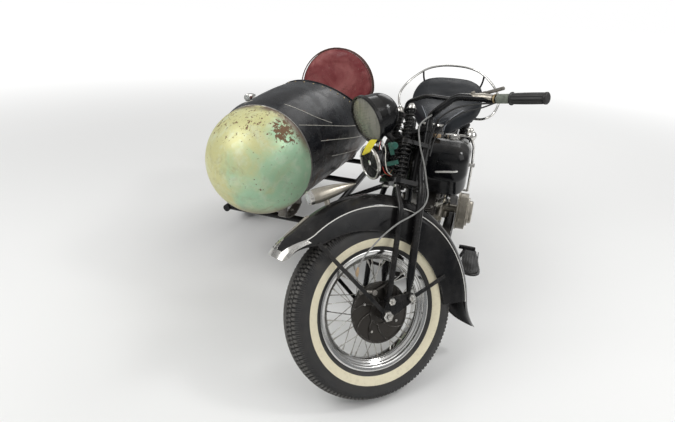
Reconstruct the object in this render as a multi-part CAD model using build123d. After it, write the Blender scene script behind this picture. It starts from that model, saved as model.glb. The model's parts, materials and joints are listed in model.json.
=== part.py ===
"""Vintage sidecar motorcycle: a side-valve V-twin with a leading-link spring fork and a sidecar.

Units are millimetres. The model is drawn with +X forward, +Y to the rider's left and +Z up, the
rear axle above the origin and the sidecar on the right. At the end the whole outfit is moved so
that its origin is the centre of its box, on the ground. The front end is drawn straight ahead and
then turned to the right by parked_steer about the raked steering axis, as the machine is parked.
"""

import math
import os

from build123d import *

# Wheels
wheelbase = 1500.0
tyre_radius = 336.5
tyre_width = 124.0
tyre_shoulder_radius = 320.0
tyre_shoulder_half = 49.0
bead_radius = 224.0
rim_flange_radius = 222.0
rim_bed_radius = 206.0
rim_drop_radius = 187.0
rim_half_width = 45.0
rim_drop_half = 18.0
rim_wall = 3.0
hub_radius = 34.0
hub_flange_radius = 58.0
hub_half_width = 34.0
hub_flange_wall = 5.0
spoke_width = 3.4
spokes_per_side = 20
spoke_cross_deg = 42.0
axle_radius = 9.5
drum_radius = 104.0
drum_width = 26.0
axle_clearance = 0.06

# Steering and fork
rake_deg = 28.0
trail = 90.0
parked_steer = 49.8
head_low_z = tyre_radius + 391.5
head_high_z = tyre_radius + 547.5
head_outer_radius = 27.0
stem_radius = 15.0
fork_half = 90.0
crown_half = 61.0
leg_ahead = 14.0
rear_leg_radius = 14.5
front_leg_radius = 10.5
pivot_behind_axle = 112.0
pivot_above_axle = 24.0
front_leg_behind_axle = 33.0
front_leg_above_axle = 40.0
leg_bend_z = tyre_radius + 363.5
riser_half = 56.0
riser_base_z = tyre_radius + 587.5
spring_half = 41.0
spring_ahead = 92.0
spring_length = 262.0
low_crown_along = tyre_radius + 481.5
crown_wall = 16.0
lower_spring_radius = 25.0
upper_spring_radius = 18.0
spring_split = 0.5
mid_plate_wall = 14.0
rod_fit = 0.3
seat_gap = 0.3
rocker_wall = 10.0
bar_radius = 12.7
grip_radius = 18.5
grip_length = 118.0

# Front fender, struck round the front wheel
front_fender_crown = 425.0
front_fender_ridge = 380.0
front_fender_half = 69.0
fender_wall = 2.6
front_fender_start_deg = 47.0
front_fender_end_deg = 192.0
front_flap_length = 145.0
valance_radius = 341.0
valance_forward = 73.0
valance_down = 27.0

# Headlamp and horn
headlamp_radius = 91.0
headlamp_depth = 118.0
headlamp_centre = (wheelbase - 178.0, 0.0, tyre_radius + 667.5)
headlamp_tilt_deg = 10.0
horn_radius = 65.0
horn_depth = 44.0
horn_centre = (wheelbase - 152.0, -28.0, tyre_radius + 512.5)

# Frame
frame_tube_radius = 14.5
backbone_radius = 17.0
backbone_knee = (wheelbase - 560.0, 790.0)
backbone_rear = (640.0, 716.0)
rail_half = 104.0
rail_z = 152.0
stay_half = 100.0
down_tube_half = 14.0
cross_bar_radius = 12.5
front_bar_x = wheelbase - 548.0
case_bar_x = 612.0
box_bar_x = 356.0
seat_tube_x = 470.0
seat_tube_z = 640.0
seat_tube_foot_x = 520.0

# Engine
crank_x = 738.0
crank_z = 270.0
vee_half_deg = 22.5
barrel_radius = 47.0
fin_half = 68.0
fin_wall = 3.0
barrel_fins = 7
head_fins = 4
barrel_start = 112.0
barrel_top = 222.0
head_top = 286.0
case_radius = 108.0
case_half = 66.0
vee_gap = 2.0
clutch_x = 411.0
clutch_z = 290.0
primary_inner_y = 112.0
primary_depth = 44.0
carb_x = 650.0
carb_z = 420.0
exhaust_y = -166.0
exhaust_z = 192.0
header_radius = 21.0
chain_inner_y = 68.0
chain_width = 12.0
rear_sprocket_radius = 91.0
gear_sprocket_radius = 44.0
chain_height = 12.0

# Tanks and seat
tank_front_x = 992.0
tank_rear_x = 552.0
tank_top_z = 836.0
tank_bottom_z = 572.0
tank_outer_y = 187.0
tank_inner_y = 22.0
tank_round = 62.0
cap_x = 850.0
cap_y = 95.0
cap_radius = 33.0
saddle_half = 196.0
saddle_front_x = 640.0
saddle_rear_x = 30.0
pan_rod_half = 130.0

# Sidecar
body_y = -750.0
nose_x = 1008.0
nose_z = 655.0
nose_radius = 256.0
sheet = 4.0
seat_half = 248.0
seat_foot_half = 200.0
floor_z = 430.0
car_wheel_x = 250.0
car_wheel_y = -1222.0
car_tube_radius = 19.0
car_rail_z = 322.0
car_inner_rail_y = -478.0
car_outer_rail_y = -1012.0
car_front_x = 930.0
car_rear_x = -210.0

CENTRE = Align.CENTER
LOW = Align.MIN
HIGH = Align.MAX
steer_direction = Vector(-math.sin(math.radians(rake_deg)), 0, math.cos(math.radians(rake_deg)))
nodes = {}


def mirrored(shape):
    """The same piece on the other side of the motorcycle's middle plane."""
    return mirror(shape, about=Plane.XZ)


def both(shape):
    """A piece and its mirror image."""
    return [shape, mirrored(shape)]


def joined(pieces):
    """Several touching pieces as one."""
    return pieces[0].fuse(*pieces[1:])


def rod(start, end, radius):
    """A straight round bar between two points."""
    a = Vector(*start)
    b = Vector(*end)
    return Plane(origin=a, z_dir=b - a) * Cylinder(radius, (b - a).length, align=(CENTRE, CENTRE, LOW))


def cone(start, end, start_radius, end_radius):
    """A straight tapered bar between two points."""
    a = Vector(*start)
    b = Vector(*end)
    form = Cone(start_radius, end_radius, (b - a).length, align=(CENTRE, CENTRE, LOW))
    return Plane(origin=a, z_dir=b - a) * form


def strap(start, end):
    """A flat strap between two points, its broad face sideways."""
    a = Vector(*start)
    b = Vector(*end)
    bar = Box(4.4, 14, (b - a).length, align=(CENTRE, CENTRE, LOW))
    return Plane(origin=a, x_dir=(0, 1, 0), z_dir=b - a) * bar


def pipe(points, radius, bend):
    """A bent round tube: straight runs joined by tangent arcs of one radius, or one each."""
    radii = bend if isinstance(bend, (list, tuple)) else [bend] * (len(points) - 2)
    path = FilletPolyline(*points, radius=list(radii))
    return sweep(Plane(origin=path @ 0, z_dir=path % 0) * Circle(radius), path=path)


def disc(x, z, y_low, y_high, radius):
    """A round piece across the machine, from y_low to y_high."""
    return rod((x, y_low, z), (x, y_high, z), radius)


def hull(circles):
    """The outline drawn tight round a few circles, each given as x, y and radius."""
    return make_hull([edge for x, y, r in circles for edge in (Pos(x, y) * Circle(r)).edges()])


def plate(outline, y_low, y_high):
    """An outline in x and z as a plate across the machine, from y_low to y_high."""
    side = Plane(origin=(0, y_high, 0), x_dir=(1, 0, 0), z_dir=(0, -1, 0))
    return extrude(side * outline, amount=y_high - y_low)


def under(post, load):
    """The part of an upright post that lies under what it carries, a hair short of it."""
    return Pos(0, 0, -seat_gap) * (post - load).solids().sort_by(Axis.Z)[0]


def turned(outline):
    """A solid of revolution about the wheel axis from an outline in radius and width."""
    return revolve(make_face(outline), axis=Axis.Y)


def steering_axis(drop):
    """The raked steering axis, lowered so that the turned front tyre meets the ground."""
    return Axis((wheelbase + trail, 0, -drop), steer_direction)


def tyre():
    """A road tyre with round shoulders, seated on the rim's bed, about the Y axis."""
    seat = rim_bed_radius + seat_gap
    half = rim_half_width - rim_wall - seat_gap
    wide = tyre_width / 2
    belly = (bead_radius + tyre_shoulder_radius) / 2
    outline = [
        Line((seat, half), (bead_radius, half)),
        ThreePointArc((bead_radius, half), (belly, wide), (tyre_shoulder_radius, tyre_shoulder_half)),
        ThreePointArc(
            (tyre_shoulder_radius, tyre_shoulder_half),
            (tyre_radius, 0),
            (tyre_shoulder_radius, -tyre_shoulder_half),
        ),
        ThreePointArc((tyre_shoulder_radius, -tyre_shoulder_half), (belly, -wide), (bead_radius, -half)),
        Line((bead_radius, -half), (seat, -half)),
        Line((seat, -half), (seat, half)),
    ]
    return turned(outline)


def rim():
    """A drop-centre steel rim about the Y axis."""
    bed_half = rim_half_width - 14.0
    upper = [
        (rim_flange_radius, rim_half_width),
        (rim_flange_radius, rim_half_width - rim_wall),
        (rim_bed_radius, rim_half_width - rim_wall),
        (rim_bed_radius, bed_half),
        (rim_drop_radius, rim_drop_half),
    ]
    lower = [
        (rim_drop_radius - rim_wall, rim_drop_half + rim_wall / 2),
        (rim_bed_radius - rim_wall, bed_half + rim_wall / 2),
        (rim_bed_radius - rim_wall, rim_half_width),
    ]
    half = upper + [(r, -y) for r, y in reversed(upper)]
    back = [(r, -y) for r, y in reversed(lower)] + lower
    return turned(Polyline(*half, *back, close=True))


def hub(sprocket):
    """Hub barrel, flanges, crossed spokes and brake drum, bored for the axle."""
    pieces = [disc(0, 0, -hub_half_width, hub_half_width, hub_radius)]
    for side in (-1, 1):
        inner = side * hub_half_width
        pieces.append(disc(0, 0, inner, inner - side * hub_flange_wall, hub_flange_radius))
    reach = rim_drop_radius - rim_wall - 1.2
    hole = hub_flange_radius - 5.0
    for side in (-1, 1):
        for index in range(spokes_per_side):
            lean = spoke_cross_deg if index % 2 else -spoke_cross_deg
            rim_angle = math.radians((index + (0.5 if side > 0 else 0.0)) * 360.0 / spokes_per_side)
            hub_angle = rim_angle + math.radians(lean)
            inner_y = side * (hub_half_width - hub_flange_wall / 2)
            a = Vector(hole * math.cos(hub_angle), inner_y, hole * math.sin(hub_angle))
            b = Vector(reach * math.cos(rim_angle), side * rim_drop_half / 2, reach * math.sin(rim_angle))
            bar = Box(spoke_width, spoke_width, (b - a).length, align=(CENTRE, CENTRE, LOW))
            pieces.append(Plane(origin=a, z_dir=b - a) * bar)
    drum_edge = hub_half_width + drum_width
    pieces.append(disc(0, 0, hub_half_width - 1.0, drum_edge, drum_radius))
    if sprocket:
        pieces.append(disc(0, 0, drum_edge, chain_inner_y, drum_radius - 30))
        pieces.append(disc(0, 0, chain_inner_y + 1, chain_inner_y + chain_width - 1, rear_sprocket_radius))
        pieces.append(disc(0, 0, chain_inner_y, chain_inner_y + 1, drum_radius - 30))
    return joined(pieces) - disc(0, 0, -200, 200, axle_radius + axle_clearance)


def arch_section(crown, ridge, half, inner_edge):
    """The cross-section of a fender: straight skirts under a rounded crown, in radius and width."""
    skirt = half + 3.0
    outer = [
        Line((inner_edge, skirt), (ridge, half)),
        ThreePointArc((ridge, half), (crown, 0), (ridge, -half)),
        Line((ridge, -half), (inner_edge, -skirt)),
        Line((inner_edge, -skirt), (inner_edge, -skirt + fender_wall)),
        Line((inner_edge, -skirt + fender_wall), (ridge - 1.0, -half + fender_wall)),
        ThreePointArc(
            (ridge - 1.0, -half + fender_wall), (crown - fender_wall, 0), (ridge - 1.0, half - fender_wall)
        ),
        Line((ridge - 1.0, half - fender_wall), (inner_edge, skirt - fender_wall)),
        Line((inner_edge, skirt - fender_wall), (inner_edge, skirt)),
    ]
    return make_face(outer)


def arch(crown, ridge, half, inner_edge, start_deg, end_deg):
    """A fender struck about the Y axis from start_deg to end_deg, counted up from straight ahead."""
    section = arch_section(crown, ridge, half, inner_edge)
    shell = revolve(section, axis=Axis.Y, revolution_arc=end_deg - start_deg)
    return Rot(0, -end_deg, 0) * shell


def flap(crown, ridge, half, inner_edge, at_deg, length):
    """The straight tail of a fender, running on from its end at at_deg."""
    section = Rot(0, -at_deg, 0) * arch_section(crown, ridge, half, inner_edge)
    angle = math.radians(at_deg)
    away = Vector(-math.sin(angle), 0, math.cos(angle))
    return extrude(section, amount=length, dir=away)


def keep(name, *solids):
    """Files the solids of one node."""
    nodes[name] = list(solids)


def spring(base, top, radius, turns, bore):
    """A coil spring drawn as its outer form, one groove to a turn, open down the middle."""
    a = Vector(*base)
    b = Vector(*top)
    length = (b - a).length
    pitch = length / turns
    neck = radius * 0.84
    points = [(bore, 0), (neck, 0)]
    for turn in range(turns):
        low = turn * pitch
        points += [(radius, low + pitch * 0.3), (radius, low + pitch * 0.7), (neck, low + pitch)]
    points += [(bore, length)]
    form = revolve(make_face(Polyline(*[(r, 0, z) for r, z in points], close=True)), axis=Axis.Z)
    return Plane(origin=a, z_dir=b - a) * form


def build_wheels(drop):
    """Three wheels, the front one drawn straight ahead; the driven one has a chain sprocket."""
    tyre_form = tyre()
    rim_form = rim()
    plain_hub = hub(False)
    places = {
        "front": ((wheelbase, 0, tyre_radius - drop), plain_hub),
        "rear": ((0, 0, tyre_radius), hub(True)),
        "sidecar": ((car_wheel_x, car_wheel_y, tyre_radius), plain_hub),
    }
    for name, (place, hub_form) in places.items():
        keep(f"{name}_tyre", Pos(*place) * tyre_form)
        keep(f"{name}_rim", Pos(*place) * rim_form)
        keep(f"{name}_hub", Pos(*place) * hub_form)


class Steering:
    """Places along the raked steering axis, and squarely ahead of it."""

    def __init__(self, drop):
        self.drop = drop
        self.foot = Vector(wheelbase + trail, 0, -drop)
        self.ahead = Vector(steer_direction.Z, 0, -steer_direction.X)
        self.wheel_z = tyre_radius - drop

    def at(self, z, ahead=0.0, y=0.0):
        """The point on the axis at height z, moved squarely ahead of the axis and to the left."""
        base = self.foot + steer_direction * ((z + self.drop) / steer_direction.Z)
        return base + self.ahead * ahead + Vector(0, y, 0)

    def along(self, distance, ahead=0.0, y=0.0):
        """The same, for a distance along the axis from the ground."""
        return self.foot + steer_direction * distance + self.ahead * ahead + Vector(0, y, 0)

    def bridge(self, circles, distance, wall):
        """A flat bridge square to the axis, its outline drawn round circles of ahead, y and radius."""
        plane = Plane(origin=self.along(distance), x_dir=self.ahead, z_dir=steer_direction)
        return extrude(plane * hull(circles), amount=wall)


def backbone(extra):
    """The frame's top tube from the steering head to the seat tube."""
    head = (wheelbase - 350, 0, head_high_z - 38)
    knee, rear = [(x, 0, z) for x, z in (backbone_knee, backbone_rear)]
    points = [head, knee, rear, (seat_tube_x + 3, 0, 604)]
    return pipe(points, backbone_radius + extra, 120)


def seat_tube_at(z):
    """The seat tube's x at a height."""
    share = (seat_tube_z - z) / (seat_tube_z - rail_z)
    return seat_tube_x + share * (seat_tube_foot_x - seat_tube_x)


def cross_bar(x, extra):
    """One of the bars across the cradle that carry the engine and gearbox."""
    return rod((x, -rail_half, rail_z + 4), (x, rail_half, rail_z + 4), cross_bar_radius + extra)


def engine_foot(x_low, x_high, y_low, y_high, top_z, bar_x):
    """A mounting foot that reaches from a case down on to a cross bar of the cradle."""
    size = (x_high - x_low, y_high - y_low, top_z - rail_z - 4)
    block = Pos(x_low, y_low, rail_z + 4) * Box(*size, align=(LOW, LOW, LOW))
    return block - cross_bar(bar_x, seat_gap)


def build_frame(steering):
    """Steering head, backbone, twin down tubes, cradle rails, seat tube and rear stays."""
    low = steering.at(head_low_z)
    high = steering.at(head_high_z)
    pieces = [rod(low, high, head_outer_radius), backbone(0)]
    pieces.append(rod(low, low + steer_direction * 14, head_outer_radius + 4))
    pieces.append(rod(high, high - steer_direction * 12, head_outer_radius + 4))
    pieces.append(rod((seat_tube_x, 0, seat_tube_z), (seat_tube_foot_x, 0, rail_z), backbone_radius - 1))
    for side in (1, -1):
        top = steering.at(head_low_z + 72)
        cradle = [
            (top.X - 10, side * down_tube_half, head_low_z + 72),
            (wheelbase - 448, side * 32, 430),
            (wheelbase - 496, side * rail_half, rail_z + 22),
            (wheelbase - 550, side * rail_half, rail_z),
            (150, side * rail_half, rail_z + 8),
            (8, side * stay_half, tyre_radius - 12),
        ]
        pieces.append(pipe(cradle, frame_tube_radius - 1, [110, 76, 60, 120]))
        stay = [
            (seat_tube_x + 2, side * 10, 600),
            (360, side * stay_half, 520),
            (8, side * stay_half, tyre_radius + 12),
        ]
        pieces.append(pipe(stay, frame_tube_radius - 2, [70]))
        pieces.append(Pos(8, side * stay_half, tyre_radius) * Box(76, 9, 62))
        pieces.append(disc(0, tyre_radius, side * (stay_half + 4), side * (stay_half + 18), 15))
    for x in (front_bar_x, case_bar_x, seat_tube_foot_x, box_bar_x):
        pieces.append(cross_bar(x, 0))
    lug_half = tank_inner_y - seat_gap
    for x in (900, 660):
        share = (backbone_knee[0] - x) / (backbone_knee[0] - backbone_rear[0])
        z = backbone_knee[1] - share * (backbone_knee[1] - backbone_rear[1])
        pieces.append(rod((x, -lug_half, z), (x, lug_half, z), 9))
    pieces.append(disc(0, tyre_radius, -stay_half - 18, stay_half + 18, axle_radius))
    bore = rod(steering.at(head_low_z - 40), steering.at(head_high_z + 40), stem_radius + axle_clearance)
    keep("main_frame", joined(pieces) - bore)


def barrel(lean, side):
    """One cylinder of the vee with its square fins and head, trimmed where the two would meet."""
    post = Cylinder(barrel_radius, head_top - barrel_start, align=(CENTRE, CENTRE, LOW))
    pieces = [Pos(0, 0, barrel_start) * post]
    foot = Cylinder(barrel_radius + 12, 12, align=(CENTRE, CENTRE, LOW))
    pieces.append(Pos(0, 0, barrel_start) * foot)
    pitch = (barrel_top - barrel_start - 12) / barrel_fins
    fin = extrude(RectangleRounded(2 * fin_half, 2 * fin_half, 34), amount=fin_wall)
    for index in range(barrel_fins):
        pieces.append(Pos(0, 0, barrel_start + 12 + (index + 0.55) * pitch) * fin)
    deck = extrude(RectangleRounded(2 * fin_half + 6, 2 * fin_half + 6, 30), amount=16)
    pieces.append(Pos(0, 0, barrel_top - 4) * deck)
    step = (head_top - barrel_top - 12) / head_fins
    head_fin = extrude(RectangleRounded(2 * fin_half - 4, 2 * fin_half - 4, 28), amount=fin_wall + 0.6)
    for index in range(head_fins):
        pieces.append(Pos(0, 0, barrel_top + 12 + (index + 0.6) * step) * head_fin)
    pieces.append(Pos(0, 0, head_top - 2) * Cylinder(14, 16, align=(CENTRE, CENTRE, LOW)))
    stack = Pos(crank_x, 0, crank_z) * Rot(0, lean, 0) * joined(pieces)
    keep_out = Box(400, 400, 800, align=(HIGH if side > 0 else LOW, CENTRE, CENTRE))
    return stack - Pos(crank_x + side * vee_gap / 2, 0, crank_z) * keep_out


def build_engine():
    """Crankcase with gearbox, two finned barrels in a vee, primary cover, carburettor and exhaust."""
    case = [disc(crank_x, crank_z, -case_half, case_half, case_radius)]
    case.append(Pos(crank_x + 6, 0, crank_z - 56) * Box(222, 2 * case_half - 10, 72))
    for lean in (vee_half_deg, -vee_half_deg):
        deck = Cylinder(barrel_radius + 13, barrel_start - seat_gap - 60, align=(CENTRE, CENTRE, LOW))
        placed = Pos(crank_x, 0, crank_z) * Rot(0, lean, 0) * Pos(0, 0, 60) * deck
        away = Box(400, 400, 800, align=(HIGH if lean > 0 else LOW, CENTRE, CENTRE))
        case.append(placed - Pos(crank_x, 0, crank_z) * away)
    case.append(disc(crank_x + 20, crank_z + 8, -case_half - 34, -case_half, 88))
    case.append(disc(crank_x + 96, crank_z + 34, -case_half - 30, -case_half, 40))
    case.append(disc(crank_x + 178, crank_z + 40, -84, 62, 46))
    case.append(Pos(crank_x + 118, -20, crank_z + 20) * Box(60, 90, 60))
    sump_top = crank_z - 60
    case.append(engine_foot(crank_x + 100, front_bar_x + 16, -40, 40, sump_top - 14, front_bar_x))
    case.append(engine_foot(case_bar_x - 14, crank_x - 90, -48, 48, sump_top - 6, case_bar_x))
    gearbox = Pos(clutch_x, -7.5, clutch_z - 2) * Box(130, 147, 132)
    gearbox = fillet(gearbox.edges().filter_by(Axis.Y), 26)
    kick_x = clutch_x - 11
    box = [gearbox, disc(kick_x, 300, -112, -80, 50), rod((kick_x, -140, 300), (kick_x, -110, 300), 11)]
    box_low = clutch_z - 66
    box.append(engine_foot(box_bar_x - 13, box_bar_x + 34, -62, 52, box_low + 4, box_bar_x))
    for y in (-62, 26):
        foot_high = seat_tube_foot_x + 13
        box.append(engine_foot(clutch_x + 24, foot_high, y, y + 26, box_low + 4, seat_tube_foot_x))
    box.append(pipe([(kick_x, -132, 300), (322, -138, 352), (252, -142, 420)], 8, [60]))
    box.append(rod((252, -138, 416), (252, -206, 420), 11))
    sprocket_low = chain_inner_y + 1
    box.append(disc(clutch_x, clutch_z, 60, sprocket_low, 26))
    box.append(disc(clutch_x, clutch_z, sprocket_low, chain_inner_y + chain_width - 1, gear_sprocket_radius))
    keep("engine_cases", joined(case), joined(box))
    keep("cylinders", barrel(vee_half_deg, 1), barrel(-vee_half_deg, -1))

    outline = hull([(crank_x, crank_z, 80), (clutch_x, clutch_z, 104)])
    outer = primary_inner_y + primary_depth
    cover = plate(outline, primary_inner_y, outer)
    cover = chamfer(cover.faces().sort_by(Axis.Y)[-1].edges(), 9)
    neck = disc(crank_x, crank_z, case_half + seat_gap, primary_inner_y, 40)
    neck_rear = disc(clutch_x, clutch_z, chain_inner_y + chain_width - 1 + seat_gap, primary_inner_y, 34)
    keep("primary_cover", joined([cover, neck, neck_rear]))

    cleaner_y = 164.0
    carb = [rod((carb_x, 70, carb_z), (carb_x, cleaner_y, carb_z), 19)]
    carb.append(Pos(carb_x, 108, carb_z - 29) * Cylinder(23, 36))
    carb.append(Pos(carb_x, 112, carb_z + 22) * Cylinder(15, 30))
    manifold_y = fin_half + 19
    reach = (barrel_start + 50) * math.sin(math.radians(vee_half_deg))
    carb.append(rod((crank_x - reach, manifold_y, carb_z), (crank_x + reach, manifold_y, carb_z), 14))
    carb.append(rod((carb_x, manifold_y, carb_z), (crank_x, manifold_y, carb_z), 14))
    for x in (crank_x - reach, crank_x + reach):
        carb.append(disc(x, carb_z, fin_half + seat_gap, manifold_y, 15))
    keep("carburettor", joined(carb))
    cleaner = disc(carb_x, carb_z - 5, cleaner_y + seat_gap, cleaner_y + 8, 98)
    cleaner = cleaner.fuse(
        disc(carb_x, carb_z - 5, cleaner_y + 8, cleaner_y + 48, 92),
        disc(carb_x, carb_z - 5, cleaner_y + 48, cleaner_y + 58, 72),
        disc(carb_x, carb_z - 5, cleaner_y + 58, cleaner_y + 76, 57),
    )
    cleaner = fillet(cleaner.faces().sort_by(Axis.Y)[-1].edges(), 8)
    keep("air_cleaner", cleaner)

    port_rise = barrel_start + 52
    port_reach = port_rise * math.sin(math.radians(vee_half_deg))
    port_z = crank_z + port_rise * math.cos(math.radians(vee_half_deg))
    port_y = -fin_half - seat_gap
    header = [
        (crank_x + port_reach, port_y, port_z),
        (crank_x + port_reach, port_y - 50, port_z),
        (888, -154, 340),
        (894, exhaust_y, 232),
        (800, exhaust_y, exhaust_z),
        (250, exhaust_y, exhaust_z),
    ]
    system = [pipe(header, header_radius, [30, 50, 44, 60])]
    link = [
        (crank_x - port_reach, port_y, port_z),
        (crank_x - port_reach, port_y - 56, port_z),
        (640, -152, 300),
        (622, exhaust_y, exhaust_z + 10),
    ]
    system.append(pipe(link, header_radius - 4, [30, 80]))
    system.append(rod((252, exhaust_y, exhaust_z), (190, exhaust_y, exhaust_z), 30))
    system.append(rod((190, exhaust_y, exhaust_z), (-260, exhaust_y, exhaust_z + 10), 44))
    system.append(rod((-260, exhaust_y, exhaust_z + 10), (-330, exhaust_y, exhaust_z + 12), 22))
    keep("exhaust", joined(system))


def tank_top_at(x):
    """The height of the tanks' sloping top at x."""
    slope = 68.0 / (tank_front_x - 96 - tank_rear_x)
    return tank_top_z + 2 - (tank_front_x - 96 - x) * slope


def tank_half():
    """One of the two saddle tanks, its side profile pushed out to the rider's left and rounded."""
    corners = [
        (tank_rear_x, tank_top_z - 66),
        (tank_front_x - 96, tank_top_z + 2),
        (tank_front_x + 2, tank_top_z - 30),
        (tank_front_x - 8, tank_top_z - 150),
        (tank_front_x - 110, tank_bottom_z - 6),
        (tank_rear_x + 60, tank_bottom_z + 46),
    ]
    profile = make_face(Polyline(*corners, close=True))
    profile = fillet(profile.vertices(), tank_round + 3)
    block = plate(profile, tank_inner_y, tank_outer_y)
    outer = block.faces().sort_by(Axis.Y)[-1]
    return fillet(outer.edges(), tank_round)


def build_tanks():
    """Saddle tanks with caps, the dash between them, and the hand shift lever in its gate."""
    tank = tank_half() - backbone(3)
    keep("fuel_tanks", *both(tank))
    top_dir = Vector(1, 0, tank_top_at(1) - tank_top_at(0))

    def on_top(x, y, lift):
        """A plane lying on the tanks' sloping top."""
        deck = Plane(origin=(x, y, tank_top_at(x)), x_dir=top_dir, z_dir=top_dir.rotate(Axis.Y, -90))
        return deck * Pos(0, 0, lift)

    cap = Cylinder(cap_radius - 5, 8, align=(CENTRE, CENTRE, LOW))
    cap += Pos(0, 0, 6) * Cylinder(cap_radius, 14, align=(CENTRE, CENTRE, LOW))
    keep("tank_caps", *both(on_top(cap_x, cap_y, seat_gap) * cap))
    body = extrude(hull([(148, 0, 26), (0, 0, 54), (-112, 0, 22)]), amount=22)
    body += Pos(0, 0, 20) * Cylinder(50, 30, align=(CENTRE, CENTRE, LOW))
    keep("dash_panel", on_top(790, 0, seat_gap) * body)

    gate_x = 702.0
    lever_y = tank_outer_y - 12
    gate = Pos(0, (120 + 186) / 2 - lever_y, 0) * Box(150, 66, 4, align=(CENTRE, CENTRE, LOW))
    gate -= Box(124, 15, 20)
    gate = on_top(gate_x, lever_y, 10) * gate
    stud = Cylinder(4, 10, align=(CENTRE, CENTRE, LOW))
    posts = [on_top(gate_x + x, 123, seat_gap) * stud for x in (-68, 68)]
    pivot = [742, tank_outer_y + seat_gap, 690]
    bolt = rod(pivot, (pivot[0], pivot[1] + 20, pivot[2]), 9)
    arm_y = pivot[1] + 12
    hand = [(742, arm_y, 560), (742, arm_y, 700), (716, arm_y - 6, 770), (703, 174, 812), (700, 166, 836)]
    arm = pipe(hand, 5.6, [80, 40, 20])
    rod_end = (clutch_x + 36, 56, clutch_z + 76)
    link = rod((742, arm_y, 562), (742, 168, 562), 5)
    long_rod = rod((742, 170, 562), rod_end, 4.5)
    pin = rod((rod_end[0], rod_end[1], clutch_z + 64 + seat_gap), (rod_end[0], rod_end[1], rod_end[2] + 6), 8)
    knob = Pos(700, 165, 838) * Sphere(16)
    keep("shift_lever", joined([gate, *posts]), joined([bolt, arm, link, long_rod, pin, knob]))


def build_seat():
    """Two-up saddle on its pan, seat post and helper springs, with the grab rail round its back."""
    sections = [
        # x, half width, low z, high z
        (saddle_front_x, 46, 793, 826),
        (540, 92, 780, 868),
        (400, 150, 788, 884),
        (220, saddle_half, 812, 944),
        (90, 178, 838, 986),
        (saddle_rear_x, 120, 874, 972),
    ]
    wires = []
    for x, half, low, high in sections:
        plane = Plane(origin=(x, 0, (low + high) / 2), x_dir=(0, 1, 0), z_dir=(1, 0, 0))
        height = high - low
        wires.append(plane * RectangleRounded(2 * half, height, min(half, height / 2) * 0.92))
    saddle = loft(wires)
    keep("saddle", saddle)
    post_x = seat_tube_at(seat_tube_z + 120)
    pan = [rod((seat_tube_at(seat_tube_z), 0, seat_tube_z + seat_gap), (post_x, 0, seat_tube_z + 122), 13)]
    pan.append(pipe([(560, 0, 756), (430, 0, 760), (180, 0, 790)], 10, [60]))
    for side in (1, -1):
        pan.append(pipe([(556, 0, 756), (430, side * 78, 762), (180, side * 120, 792)], 8, [60]))
    pan.append(rod((180, -pan_rod_half, 792), (180, pan_rod_half, 792), 9))
    for x, y in ((530, 0), (430, 78), (430, -78), (180, 60), (180, -60)):
        z = 756 if x > 500 else 762 if x > 400 else 792
        pan.append(under(Pos(x, y, z) * Cylinder(7, 150, align=(CENTRE, CENTRE, LOW)), saddle))
    coils = []
    for side in (1, -1):
        coils.append(spring((180, side * 120, 640), (180, side * 120, 784), 28, 6, 0.0))
        foot_z = 520 + (180 - 360) * (520 - tyre_radius - 12) / (360 - 8)
        pan.append(rod((180, side * (stay_half + 2), foot_z + 20), (180, side * 120, 641), 8))
    keep("saddle_frame", joined(pan + coils))
    half = 268.0
    left = [
        (180, pan_rod_half + seat_gap, 792),
        (180, 152, 792),
        (262, 206, 802),
        (226, half, 846),
        (110, half, 900),
        (10, 186, 1004),
        (-30, 90, 1036),
    ]
    right = [(x, -y, z) for x, y, z in reversed(left)]
    rail = [pipe(left + right, 7, [24, 40, 34, 60, 70, 60, 60, 70, 60, 34, 40, 24])]
    for side in (1, -1):
        brace = [(-30, side * 86, 1036), (-30, side * 84, 880), (60, side * 88, 800), (180, side * 92, 792)]
        rail.append(pipe(brace, 6, [50, 50]))
    grab = joined(rail) - rod((180, -pan_rod_half, 792), (180, pan_rod_half, 792), 9 + seat_gap)
    keep("grab_rail", *grab.solids().sort_by(SortBy.VOLUME)[-1:])
    case = Pos(430, 0, 450) * Box(56, 140, 112)
    case = fillet(case.edges().filter_by(Axis.Z), 8)
    lid = Pos(430, 0, 508) * Box(60, 146, 8)
    foot_low = clutch_z + 64 + seat_gap
    foot = Pos(430, 0, foot_low) * Box(36, 60, 396 - foot_low, align=(CENTRE, CENTRE, LOW))
    keep("battery_box", joined([case, lid, foot]))


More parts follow.
